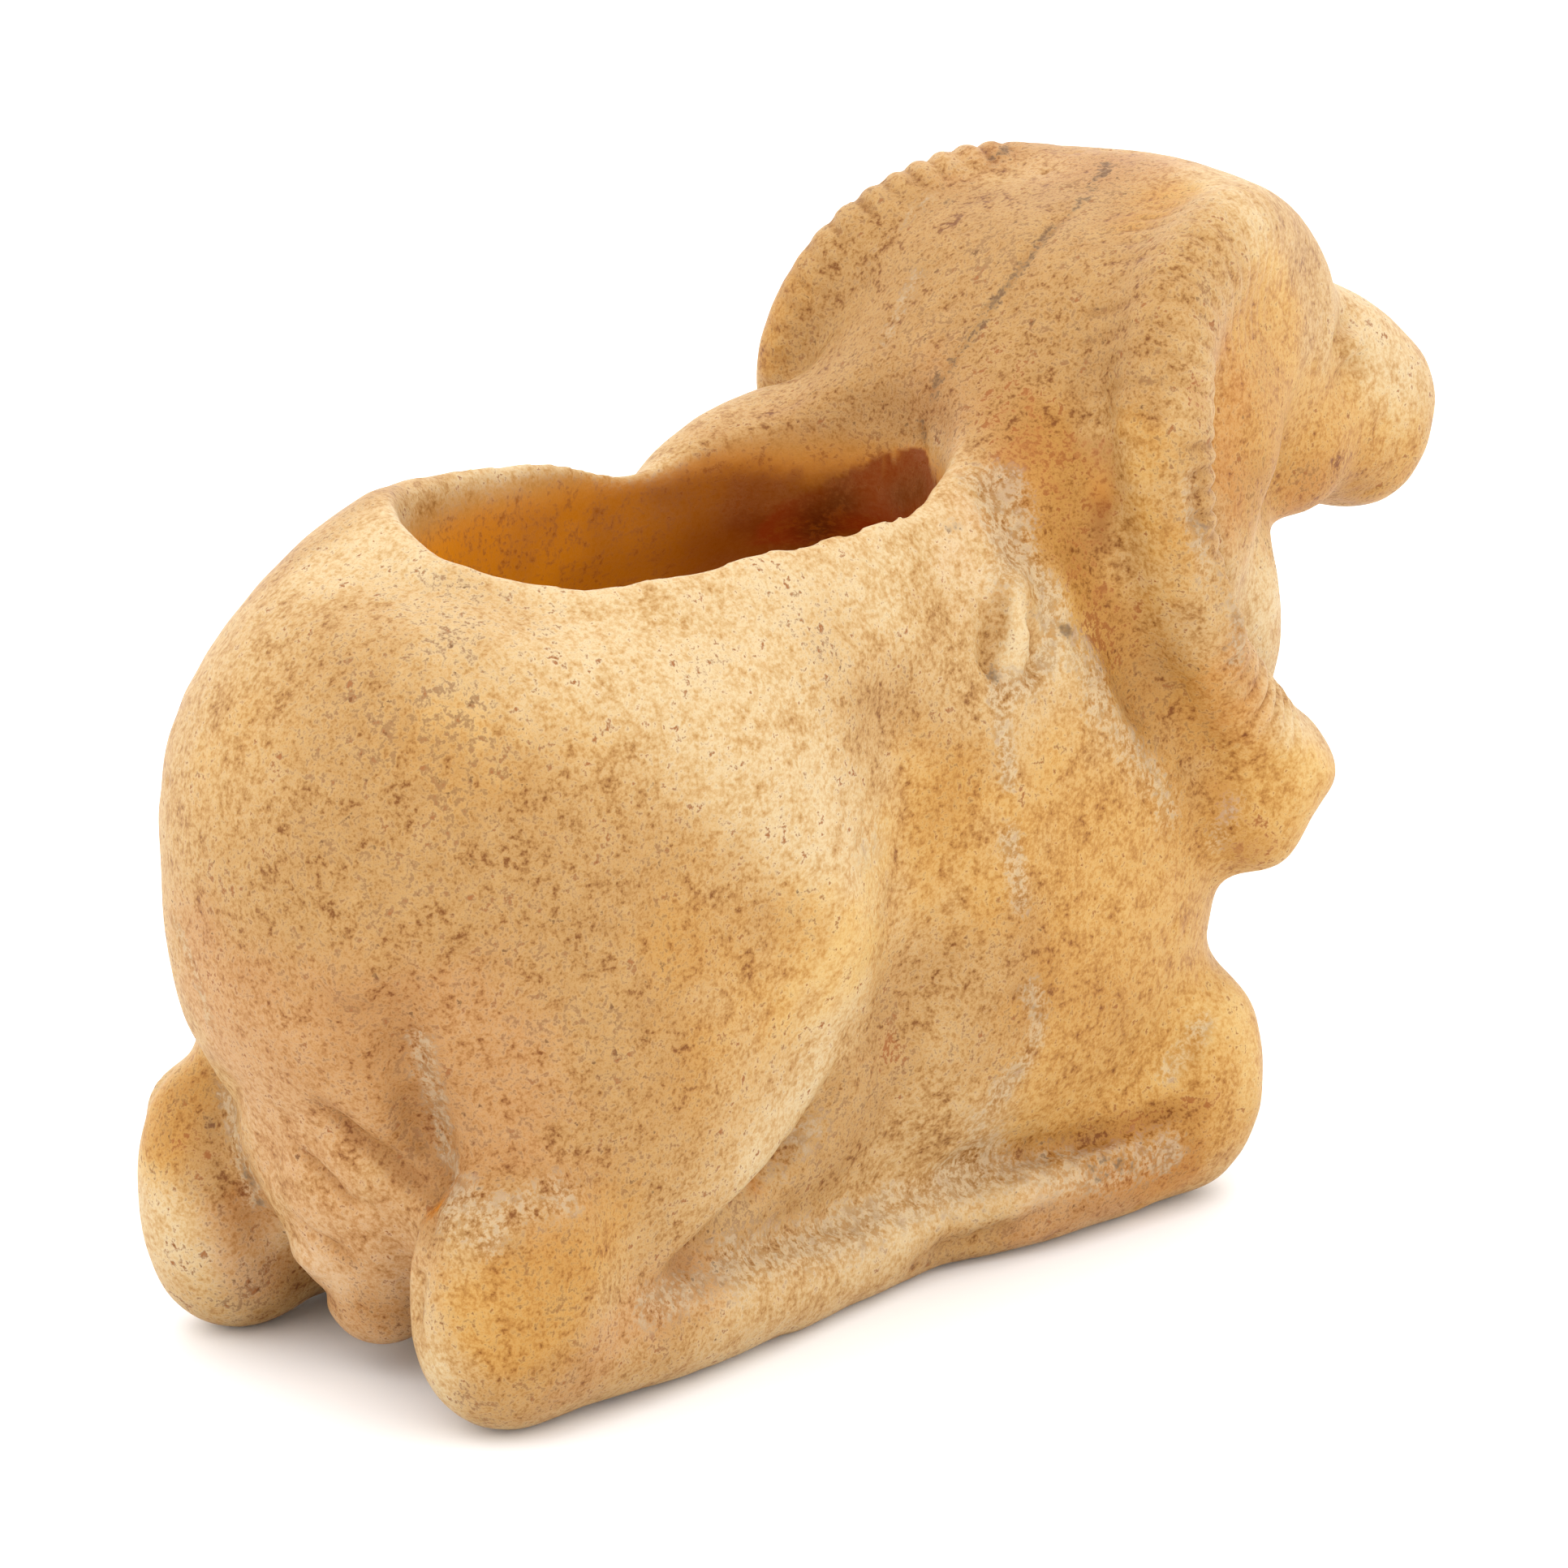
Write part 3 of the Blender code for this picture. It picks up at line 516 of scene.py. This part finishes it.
class Stone:
    """The skin of the stone as arrays in carving millimetres, and the tools that work it."""

    def __init__(self, mesh):
        self.mesh = mesh
        self.count = len(mesh.vertices)
        self.points = self.read("co", 3) / MM + CARVING_ORIGIN
        edges = np.empty(len(mesh.edges) * 2, np.int64)
        mesh.edges.foreach_get("vertices", edges)
        self.edges = edges.reshape(-1, 2)
        self.learn_normals()

    def read(self, name, width):
        """One property of all points."""
        flat = np.empty(self.count * width, np.float32)
        self.mesh.vertices.foreach_get(name, flat)
        return flat.reshape(-1, width).astype(float)

    def write(self):
        """Puts the worked points back in the mesh, inside the vessel's own box."""
        low, high = (np.array(corner) / MM + CARVING_ORIGIN for corner in cad_box)
        kept = np.clip(self.points, low, high)
        self.mesh.vertices.foreach_set("co", ((kept - CARVING_ORIGIN) * MM).astype(np.float32).ravel())
        self.mesh.update()

    def learn_normals(self):
        """Brings the normals up to date with the points."""
        self.write()
        self.normals = self.read("normal", 3)

    def averaged(self, values):
        """The mean of each point's neighbours, for a column or a table of values."""
        a, b = self.edges.T
        table = values.reshape(self.count, -1)
        degree = np.bincount(self.edges.ravel(), minlength=self.count)
        total = np.column_stack([np.bincount(a, column[b], self.count)
                                 + np.bincount(b, column[a], self.count) for column in table.T])
        return (total / degree[:, None]).reshape(values.shape)

    def melt(self, share, turns, give_back):
        """Smooths the skin strongly where the share is high, then gives the lost bulk back."""
        edges = self.edges[(share[self.edges] > 0).any(axis=1)]
        used, local = np.unique(edges, return_inverse=True)
        a, b = local.reshape(-1, 2).T
        degree = np.bincount(local.ravel(), minlength=len(used))[:, None]
        part = 0.5 * share[used][:, None]

        def settled(table, turns):
            for _ in range(turns):
                total = np.column_stack([np.bincount(a, column[b], len(used))
                                         + np.bincount(b, column[a], len(used)) for column in table.T])
                table = table + (total / degree - table) * part
            return table

        softer = settled(self.points[used], turns)
        lost = settled(self.points[used] - softer, give_back)
        self.points[used] = softer + lost

    def seen(self, places):
        """Where places of the picture lie on the stone; a place beside it is left out."""
        if not hasattr(self, "tree"):
            faces = [tuple(face.vertices) for face in self.mesh.polygons]
            self.tree = BVHTree.FromPolygons([Vector(point) for point in self.points], faces)
        back, right, up = camera_axes()
        eye = (CAMERA_TARGET + back * CAMERA_DISTANCE) / MM + Vector(CARVING_ORIGIN)
        hits = []
        for place in places:
            across, down = ((p - PICTURE_SIZE / 2) / FOCAL_PIXELS for p in place)
            hit = self.tree.ray_cast(eye, right * across - up * down - back)[0]
            if hit:
                hits.append(hit)
        return np.array(hits)

    def near(self, path, reach):
        """The points whose box lies within reach of a path."""
        low, high = path.min(0) - reach, path.max(0) + reach
        return np.flatnonzero(((self.points > low) & (self.points < high)).all(axis=1))

    def strokes(self, places, reach, both=True):
        """For each side: the points near a stroke, their distance, share run and say.

        The stroke on the animal's left has a say only where the camera doesn't see.
        """
        right = smooth_path(places)
        for path in ([right, right * BOTH_SIDES] if both else [right]):
            found = self.near(path, reach)
            gap, run = along_path(self.points[found], path)
            total = np.linalg.norm(np.diff(path, axis=0), axis=1).sum() or 1.0
            say = np.ones(len(found))
            if path is not right:
                say = rise(-(self.normals[found] @ np.array(camera_axes()[0])), 0.0, 0.2)
            yield found, gap, run / total, say

    def groove(self, places, width, depth, both=True, waver=0.25):
        """Cuts a hand-made groove that fades at its ends, or raises a ridge if depth is negative."""
        for found, gap, share, say in self.strokes(places, 3 * width, both):
            fade = np.clip(np.minimum(share, 1 - share) / FADE_SHARE, FADE_LEAST, 1)
            uneven = 1 + waver * lumps(self.points[found], 3.0, 5)
            cut = depth * fade * uneven * say * np.exp(-(gap / width) ** 2)
            self.points[found] -= self.normals[found] * cut[:, None]

    def push(self, places, width, offset):
        """Moves everything near a path by one offset."""
        for found, gap, _, _ in self.strokes(places, 3 * width, False):
            self.points[found] += np.exp(-(gap / width) ** 2)[:, None] * np.array(offset)

    def roughen(self, size, height, seed, share=1.0):
        """Unevenness of one size over the whole skin."""
        self.points += self.normals * (height * lumps(self.points, size, seed) * share)[:, None]

    def pit(self, number, seed, widths, depths, where):
        """Scatters small round pits, more of them where the share is high."""
        chance = np.random.default_rng(seed)
        middles = chance.choice(self.count, number, p=where / where.sum())
        for middle in middles:
            width, depth = chance.uniform(*widths), chance.uniform(*depths)
            spot = self.points[middle][None, :]
            found = self.near(spot, 2.5 * width)
            gap = np.linalg.norm(self.points[found] - spot, axis=1)
            cut = depth * np.exp(-(gap / width) ** 2)
            self.points[found] -= self.normals[found] * cut[:, None]

    def paint(self, marks):
        """A mask from 0 to 1 that is full near the given marks: places, width, strength."""
        mask = np.zeros(self.count)
        for places, width, strength in marks:
            for found, gap, _, say in self.strokes(places, 3 * width):
                mask[found] += strength * say * np.exp(-(gap / width) ** 2)
        return np.clip(mask, 0, 1)

    def store(self, name, values):
        """Keeps a mask in the mesh for the material."""
        layer = self.mesh.attributes.new(name, "FLOAT", "POINT")
        layer.data.foreach_set("value", np.asarray(values, np.float32))


def cast_marks(stone, marks):
    """The marks of one kind as places on the stone: places, width, depth or strength."""
    cast = [(stone.seen(places), width, strength) for width, strength, *places in marks.values()]
    return [mark for mark in cast if len(mark[0])]


def reworked_skin():
    """A dense copy of the vessel's solid, evened out, carved and worn, with its coloured marks."""
    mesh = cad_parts[NODE].data.copy()
    piece = bpy.data.objects.new("alabaster_ibex", mesh)
    bpy.context.scene.collection.objects.link(piece)
    melt = piece.modifiers.new("melt", "REMESH")
    melt.mode = "VOXEL"
    melt.voxel_size = bpy.context.scene.vessel_stone.skin_step
    bake_modifiers(piece)
    stone = Stone(piece.data)
    even_out(stone)
    layers = {name: cast_marks(stone, marks) for name, marks in PAINT.items()}
    carve(stone)
    scallop_horns(stone)
    wear(stone, layers)
    stone.write()
    thin = piece.modifiers.new("thin", "DECIMATE")
    thin.ratio = min(1.0, bpy.context.scene.vessel_stone.triangles / (2 * len(piece.data.polygons)))
    bake_modifiers(piece)
    return piece, layers


def bake_modifiers(piece):
    """Turns the evaluated shape into the object's own mesh."""
    graph = bpy.context.evaluated_depsgraph_get()
    mesh = bpy.data.meshes.new_from_object(piece.evaluated_get(graph))
    piece.modifiers.clear()
    piece.data = mesh


def even_out(stone):
    """Smooths the facets of the solid away, most of all where horns and hood run together."""
    x, _, z = stone.points.T
    stone.melt(np.full(stone.count, 1.0), *EVEN_ALL)
    hood = rise(z, *HOOD_LEVEL) * rise(x, *HOOD_FRONT)
    stone.melt(hood, *EVEN_HOOD)
    horn, _, _ = horn_reach(stone.points)
    stone.melt(rise(HORN_REACH - horn, 0.0, 1.5) * (1 - hood), *EVEN_HORNS)
    stone.learn_normals()


def horn_reach(points):
    """For both horns at once: distance from the horn's line, length run, and share inside the curl."""
    folded = points * np.where(points[:, 1:2] > 0, BOTH_SIDES, 1.0)
    path = smooth_path(HORN)
    gap, run = along_path(folded, path)
    runs = np.append(0, np.cumsum(np.linalg.norm(np.diff(path, axis=0), axis=1)))
    core = np.column_stack([np.interp(run, runs, path[:, axis]) for axis in (0, 2)])
    inward = CURL_MIDDLE - core
    inward /= np.linalg.norm(inward, axis=1)[:, None]
    inner = np.einsum("ij,ij->i", folded[:, (0, 2)] - core, inward) / np.maximum(gap, 0.1)
    return gap, run, inner


def carve(stone):
    """Cuts the marks of the picture into the stone, and the eyes."""
    shifts = [(stone.seen(places), width, offset) for width, offset, *places in SHIFTS.values()]
    cuts, ridges = cast_marks(stone, CUTS), cast_marks(stone, RIDGES)
    for places, width, offset in shifts:
        stone.push(places, width, offset)
    stone.learn_normals()
    for places, width, depth in cuts:
        stone.groove(places, width, depth)
    for places, width, height in ridges:
        stone.groove(places, width, -height)
    for places, width, depth in FACE_CUTS.values():
        stone.groove(places, width, depth)
    stone.learn_normals()


def horn_scallops(points):
    """The share of a scallop's height at each point, from a cut at 0 to a crest at 1, and its say."""
    gap, run, inner = horn_reach(points)
    drift = SCALLOP_DRIFT * lumps(points, 5.0, 11)
    crest = np.abs(np.sin(math.pi * (run / SCALLOP_PITCH + drift)))
    on_horn = rise(HORN_REACH - gap, 0.0, 1.2) * (1 - rise(run, *SCALLOP_END))
    lower = rise(run, FREE_HORN, FREE_HORN + 2.5)
    front = rise(inner, -0.7, 0.1) * lower
    crown = rise(run, *CROWN_START) * (1 - lower) * CROWN_HEIGHT / SCALLOP_HEIGHT
    far = rise(points[:, 1], 0.0, 2.0)
    outer = 0.8 * rise(-inner, 0.78, 0.98) * rise(run, 12.0, 15.0)
    say = front + (1 - far) * crown + far * outer * (1 - front)
    return crest, on_horn * say * np.clip(0.8 + 0.6 * lumps(points, 4.0, 12), 0, 1.3)


def scallop_horns(stone):
    """Cuts the small scallops of the horns' edges."""
    found = stone.near(np.vstack((smooth_path(HORN), smooth_path(HORN) * BOTH_SIDES)), HORN_REACH)
    crest, say = horn_scallops(stone.points[found])
    stone.points[found] += stone.normals[found] * (SCALLOP_HEIGHT * (crest - 0.6) * say)[:, None]
    stone.learn_normals()


def wear(stone, layers):
    """Hand-made unevenness, pits and the rough crust."""
    for size, height, seed in UNEVENNESS:
        stone.roughen(size, height, seed)
    crust, brown = stone.paint(layers["crust"]), stone.paint(layers["brown"])
    stone.roughen(*CRUST_UNEVENNESS, crust)
    stone.learn_normals()
    stone.pit(*SKIN_PITS, 0.15 + brown)
    stone.pit(*CRUST_PITS, 0.02 + crust)
    stone.learn_normals()


def hollow_share(stone):
    """How far each point of the skin belongs to the inside of the hollow, from 0 to 1."""
    x, y, z = stone.points.T
    inner = (np.abs(y) < HOLLOW_SIDE) & (x > HOLLOW_ENDS[0]) & (x < HOLLOW_ENDS[1]) & (z > HOLLOW_FLOOR)
    facing = np.einsum("ij,ij->i", stone.normals, stone.points - HOLLOW_MIDDLE) < 0
    share = (inner & facing).astype(float)
    for _ in range(3):
        share = stone.averaged(share)
    return share


def mask_skin(piece, layers):
    """Gives every point of the thinned skin its tone, its tints and what lies on it."""
    stone = Stone(piece.data)
    marks = {name: stone.paint(strokes) for name, strokes in layers.items()}
    broad, cloud, patch, mottle = (lumps(stone.points, size, seed)
                                   for size, seed in CLOUDS)
    broken = 0.45 * cloud + 0.45 * patch + 0.3 * mottle
    soft = stone.points.copy()
    for _ in range(SUNK_TURNS):
        soft += (stone.averaged(soft) - soft) * 0.5
    sunk = np.einsum("ij,ij->i", soft - stone.points, stone.normals) / SUNK_DEPTH

    def ragged(name, spread):
        """A painted share whose edge breaks up in clouds."""
        torn = broken * spread * marks[name].clip(0, 0.5) * 2
        return rise(marks[name] * (1 + 0.4 * spread) + torn, 0.1, 1.0)

    crest, say = horn_scallops(stone.points)
    notch = np.clip(1.6 * (0.45 - crest), 0, 1) * say * rise(patch + mottle, -0.5, 0.6)
    # The pale marks lift the tone, as paler stone and as painted highlight; the brown marks and the
    # cuts between the horn's scallops lower it.
    tone = 0.57 + 0.24 * ragged("pale", 0.5) - 0.11 * ragged("brown", 0.8) - 0.3 * notch
    tone += 0.05 * broad + 0.1 * cloud + 0.08 * patch + 0.04 * mottle
    # Darker where the skin is sunk below its smoothed copy, lighter where it stands proud.
    tone -= 0.1 * np.clip(sunk, 0, 1.5) - 0.05 * np.clip(-sunk, 0, 1.5)
    stone.store("tone", tone)
    for name, spread in (("amber", 0.6), ("rosy", 0.6), ("rust", 0.9)):
        stone.store(name, ragged(name, spread))
    stone.store("crust", marks["crust"] * (1 + 0.6 * broken))
    stone.store("vein", marks["grey"] * np.clip(0.85 + 1.1 * broken, 0, 1.4))
    pitted = marks["brown"] + 0.3 * marks["crust"] + 1.5 * notch + 0.4 * cloud + 0.4 * patch
    stone.store("pitted", pitted)
    # Masks for the hollow's painted glow and painted shade: the inside, depth below the lip, the share
    # towards the front, red patches and dark patches.
    inside = hollow_share(stone)
    below = LIP_LEVEL - stone.points[:, 2]
    ember = rise(marks["ember"] + 0.06 * broken, 0.36, 0.5)
    front = (stone.points[:, 0] + 26.0) / 32.0
    stone.store("hollow", inside * np.clip(rise(below, -0.5, 2.5) + ember, 0, 1))
    stone.store("deep", np.clip(rise(below + 0.8 * cloud, -0.5, 4.5) + ember, 0, 1))
    stone.store("front", np.clip(front + 0.12 * cloud + 0.1 * patch, 0, 1))
    stone.store("ember", ember)
    stone.store("smoke", marks["smoke"] * (1 + 0.5 * broken))


class Wire:
    """A value in the shader. Arithmetic on it adds Math nodes."""

    def __init__(self, board, socket):
        self.board = board
        self.socket = socket

    def math(self, operation, *others):
        """One Math node on this value and the others."""
        places = dict(enumerate((self, *others)))
        return self.board.node("ShaderNodeMath", {"operation": operation}, places)

    def __add__(self, other):
        return self.math("ADD", other)

    def __mul__(self, other):
        return self.math("MULTIPLY", other)

    def __sub__(self, other):
        return self.math("SUBTRACT", other)

    def __rsub__(self, other):
        return self.board.node("ShaderNodeMath", {"operation": "SUBTRACT"}, {0: other, 1: self})

    __radd__ = __add__
    __rmul__ = __mul__

    def rise(self, low, high):
        """A soft step from 0 below low to 1 above high."""
        return self.board.node("ShaderNodeMapRange", {"interpolation_type": "SMOOTHSTEP"},
                               {"Value": self, "From Min": low, "From Max": high})


class Board:
    """The nodes of one material."""

    def __init__(self, name):
        self.material = bpy.data.materials.new(name)
        self.material.use_nodes = True
        self.tree = self.material.node_tree
        self.shader = self.tree.nodes["Principled BSDF"]

    def node(self, kind, settings, inputs, output=0):
        """Adds a node, with its settings first and then the values or links of its sockets."""
        made = self.tree.nodes.new(kind)
        for name, value in settings.items():
            if name == "stops":
                self.set_stops(made.color_ramp, value)
            else:
                setattr(made, name, value)
        for name, value in inputs.items():
            self.feed(made.inputs[name], value)
        return Wire(self, made.outputs[output])

    def set_stops(self, ramp, stops):
        """Gives a ramp its colours."""
        while len(ramp.elements) < len(stops):
            ramp.elements.new(1.0)
        for element, (place, colour) in zip(ramp.elements, stops):
            element.position = place
            element.color = colour

    def feed(self, socket, value):
        """Sets a socket to a plain value, or links it to a wire."""
        if isinstance(value, Wire):
            self.tree.links.new(value.socket, socket)
        else:
            socket.default_value = value

    def hold(self, values):
        """Sets sockets of the shader to fixed values."""
        for name, value in values:
            self.feed(self.shader.inputs[name], value)

    def mask(self, name):
        """A share kept in the mesh."""
        return self.node("ShaderNodeAttribute", {"attribute_name": name}, {}, "Fac")

    def mix(self, factor, first, second, blend="MIX"):
        """A colour between two colours, or the first one blended with the second."""
        return self.node("ShaderNodeMix", {"data_type": "RGBA", "blend_type": blend},
                         {0: factor, 6: first, 7: second}, 2)

    def grain(self, size, detail=2.0, roughness=0.5, shift=0.0):
        """Noise around 0 with lumps of about size millimetres, shifted to be a new pattern."""
        place = self.node("ShaderNodeTexCoord", {}, {}, "Object")
        moved = self.node("ShaderNodeMapping", {}, {"Vector": place, "Scale": (1 / (size * MM),) * 3,
                                                    "Location": (shift, shift * 1.7, shift * 0.6)})
        return self.node("ShaderNodeTexNoise", {}, {"Vector": moved, "Scale": 1.0, "Detail": detail,
                                                    "Roughness": roughness}, "Fac") - 0.5


def alabaster():
    """Honey alabaster: grains from pale to brown, tints, specks, veins, crust and a hollow with painted
    glow.
    """
    board = Board("honey_alabaster")
    tint = {name: srgb(colour) for name, colour in TINTS.items()}
    lying = {name: srgb(colour, LIGHT_ON_STONE) for name, colour in DEPOSITS.items()}
    painted_glow = {name: srgb(colour) for name, colour in PAINTED_GLOW.items()}
    mottle = board.grain(1.5, 3.0, 0.72, shift=7.0)
    fine = board.grain(0.4, 2.0, 0.75, shift=11.0)
    flecks = board.grain(0.7, 1.0, 0.6, shift=19.0)
    pitted = board.mask("pitted")
    shade = board.mask("tone") + mottle * 1.3 + fine * 1.5
    stops = [(place, srgb(tone, LIGHT_ON_STONE)) for place, tone in TONES]
    colour = board.node("ShaderNodeValToRGB", {"stops": stops}, {"Fac": shade})
    for name in TINTS:
        colour = board.mix(board.mask(name), colour, tint[name], "MULTIPLY")
    specks = (fine * 1.1 + mottle * 0.7 + pitted * 0.14).rise(0.12, 0.34)
    colour = board.mix(specks * 0.7, colour, lying["speck"])
    rust = (board.mask("rust") * 0.65 + mottle * 3.2 + fine * 3.0).rise(0.5, 1.1)
    colour = board.mix(rust * 0.65, colour, lying["rust"])
    # Crust is pale flecks over darker gaps; veins and ink-dark specks are thin and broken.
    crust = (board.mask("crust") * (1.0 + mottle * 2.4 + fine * 2.4)).rise(0.3, 1.0)
    crusted = board.mix((flecks * 0.5 + fine).rise(-0.12, 0.12), lying["crust_gap"], lying["crust"])
    colour = board.mix(crust * 0.6, colour, crusted)
    vein = (board.mask("vein") * (1.0 + mottle * 4.0 + fine * 2.5)).rise(0.4, 1.0)
    colour = board.mix(vein * 0.65, colour, lying["vein"])
    ink = (flecks + fine * 0.8 + pitted * 0.1).rise(0.37, 0.45)
    colour = board.mix(ink * 0.5, colour, lying["ink"])
    # Painted glow in the hollow, as emission: amber at the rear, red and dark deep in front, where it
    # darkens as painted shade.
    hollow = board.mask("hollow")
    deep = (board.mask("deep") + mottle * 0.4).rise(0.0, 1.0)
    glow = board.mix(deep, painted_glow["lip"], painted_glow["yellow"])
    glow = board.mix(board.mask("front") * deep, glow, painted_glow["depth"])
    glow = board.mix(board.mask("ember"), glow, painted_glow["ember"])
    # Darker patches in the painted glow.
    glow = board.mix(board.mask("smoke"), glow, painted_glow["smoke"])
    grimy = (fine * 1.2 + mottle).rise(-0.05, 0.3)
    glow = board.mix(grimy * 0.6, glow, painted_glow["grime"])
    board.feed(board.shader.inputs["Emission Color"], board.mix(hollow, (0.0, 0.0, 0.0, 1.0), glow))
    # Painted shade: the hollow's own colour darkens from the lip downwards, broken by darker specks.
    inner = board.mix(deep, srgb(INNER_LIP, LIGHT_ON_STONE), srgb(INNER_DEPTH, LIGHT_ON_STONE))
    inner = board.mix(grimy * 0.5, inner, srgb(INNER_GRIME, LIGHT_ON_STONE))
    colour = board.mix(hollow * 0.9, colour, inner)
    board.feed(board.shader.inputs["Base Color"], colour)
    polish = 0.5 + specks * 0.12 + crust * 0.25 + mottle * 0.3
    board.feed(board.shader.inputs["Roughness"], polish)
    height = fine * 0.6 + mottle * 0.9 + specks * -0.4 + crust * flecks * 1.4
    normal = board.node("ShaderNodeBump", {}, {**STONE_BUMP, "Height": height})
    board.feed(board.shader.inputs["Normal"], normal)
    board.shader.subsurface_method = "BURLEY"
    # The glow is seen but not sampled as a lamp, because each face of the stone would count as one.
    board.material.cycles.emission_sampling = "NONE"
    board.hold(STONE_LIGHT)
    return board.material


def paper():
    """White paper that the vessel stands on."""
    board = Board("white_paper")
    board.hold(PAPER_LIGHT)
    return board.material


class VesselStone(bpy.types.PropertyGroup):
    """Sizes of the reworked skin."""

    skin_step: bpy.props.FloatProperty(
        name="Skin step", description="Size of the small faces the skin is carved in",
        default=0.36 * MM, min=0.2 * MM, max=2 * MM, unit="LENGTH")
    triangles: bpy.props.IntProperty(
        name="Triangles", description="Most triangles of the finished skin", default=190000)


class VesselStage(bpy.types.PropertyGroup):
    """Sizes and strengths of the stage."""

    floor_size: bpy.props.FloatProperty(
        name="Floor size", description="Width of the paper floor", default=8.0, unit="LENGTH")
    sky: bpy.props.FloatProperty(
        name="Sky", description="Strength of the even light from all sides", default=1.95,
        unit="NONE")
    key: bpy.props.FloatProperty(
        name="Key light", description="Strength of the broad soft light", default=0.35,
        unit="NONE")
    key_spread: bpy.props.FloatProperty(
        name="Key spread", description="How wide the broad light is", default=math.radians(50.0),
        subtype="ANGLE", unit="ROTATION")


class VESSEL_OT_carve(bpy.types.Operator):
    """Carves, wears and colours the alabaster ibex"""

    bl_idname = "vessel.carve"
    bl_label = "Carve the vessel"

    def execute(self, context):
        piece, layers = reworked_skin()
        mask_skin(piece, layers)
        piece.data.materials.clear()
        piece.data.materials.append(alabaster())
        piece.data.shade_smooth()
        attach(piece, "root")
        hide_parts(NODE)
        return {"FINISHED"}


class VESSEL_OT_stage(bpy.types.Operator):
    """Sets the paper floor, the soft lights and the camera"""

    bl_idname = "vessel.stage"
    bl_label = "Set the stage"

    def execute(self, context):
        sizes = context.scene.vessel_stage
        bpy.ops.mesh.primitive_plane_add(size=sizes.floor_size, location=(0.0, 0.0, -GROUND_PLAY * MM))
        floor = context.object
        floor.name = "paper_floor"
        floor.data.materials.append(paper())
        floor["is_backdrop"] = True
        world = bpy.data.worlds.new("even_light")
        context.scene.world = world
        world.use_nodes = True
        sky = world.node_tree.nodes["Background"]
        sky.inputs["Color"].default_value = (1.0, 1.0, 1.0, 1.0)
        sky.inputs["Strength"].default_value = sizes.sky
        lamp = bpy.data.lights.new("key_light", "SUN")
        lamp.energy = sizes.key
        lamp.angle = sizes.key_spread
        key = bpy.data.objects.new("key_light", lamp)
        key.rotation_euler = Vector(KEY_FROM).to_track_quat("Z", "Y").to_euler()
        context.scene.collection.objects.link(key)
        place_camera(context)
        context.scene.view_settings.view_transform = "Standard"
        return {"FINISHED"}


def place_camera(context):
    """Puts the camera where the photograph was taken from."""
    back, right, up = camera_axes()
    lens = bpy.data.cameras.new("camera")
    lens.sensor_width = SENSOR
    lens.lens = FOCAL_PIXELS / PICTURE_SIZE * SENSOR
    camera = bpy.data.objects.new("camera", lens)
    turn = Matrix((right, up, back)).transposed().to_4x4()
    camera.matrix_world = Matrix.Translation(CAMERA_TARGET + back * CAMERA_DISTANCE) @ turn
    context.scene.collection.objects.link(camera)
    context.scene.camera = camera


class VESSEL_PT_panel(bpy.types.Panel):
    """Lists the steps that make the vessel"""

    bl_idname = "VESSEL_PT_panel"
    bl_label = "Ibex vessel"
    bl_space_type = "VIEW_3D"
    bl_region_type = "UI"
    bl_category = "Vessel"

    def draw(self, context):
        for group in (context.scene.vessel_stone, context.scene.vessel_stage):
            for name in group.__annotations__:
                self.layout.prop(group, name)
        for step in (VESSEL_OT_carve, VESSEL_OT_stage):
            self.layout.operator(step.bl_idname)


CLASSES = (VesselStone, VesselStage, VESSEL_OT_carve, VESSEL_OT_stage, VESSEL_PT_panel)


def register():
    """Makes the classes and their settings known to Blender."""
    for item in CLASSES:
        bpy.utils.register_class(item)
    bpy.types.Scene.vessel_stone = bpy.props.PointerProperty(type=VesselStone)
    bpy.types.Scene.vessel_stage = bpy.props.PointerProperty(type=VesselStage)


def unregister():
    """Takes the classes and their settings out of Blender."""
    del bpy.types.Scene.vessel_stone
    del bpy.types.Scene.vessel_stage
    for item in reversed(CLASSES):
        bpy.utils.unregister_class(item)


def main():
    """Runs every step in order, and works out the bounds before and after."""
    register()
    bpy.ops.vessel.carve()
    bpy.ops.vessel.stage()
    [[list(corner) for corner in box] for box in (cad_box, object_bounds())]


if __name__ == "__main__":
    main()
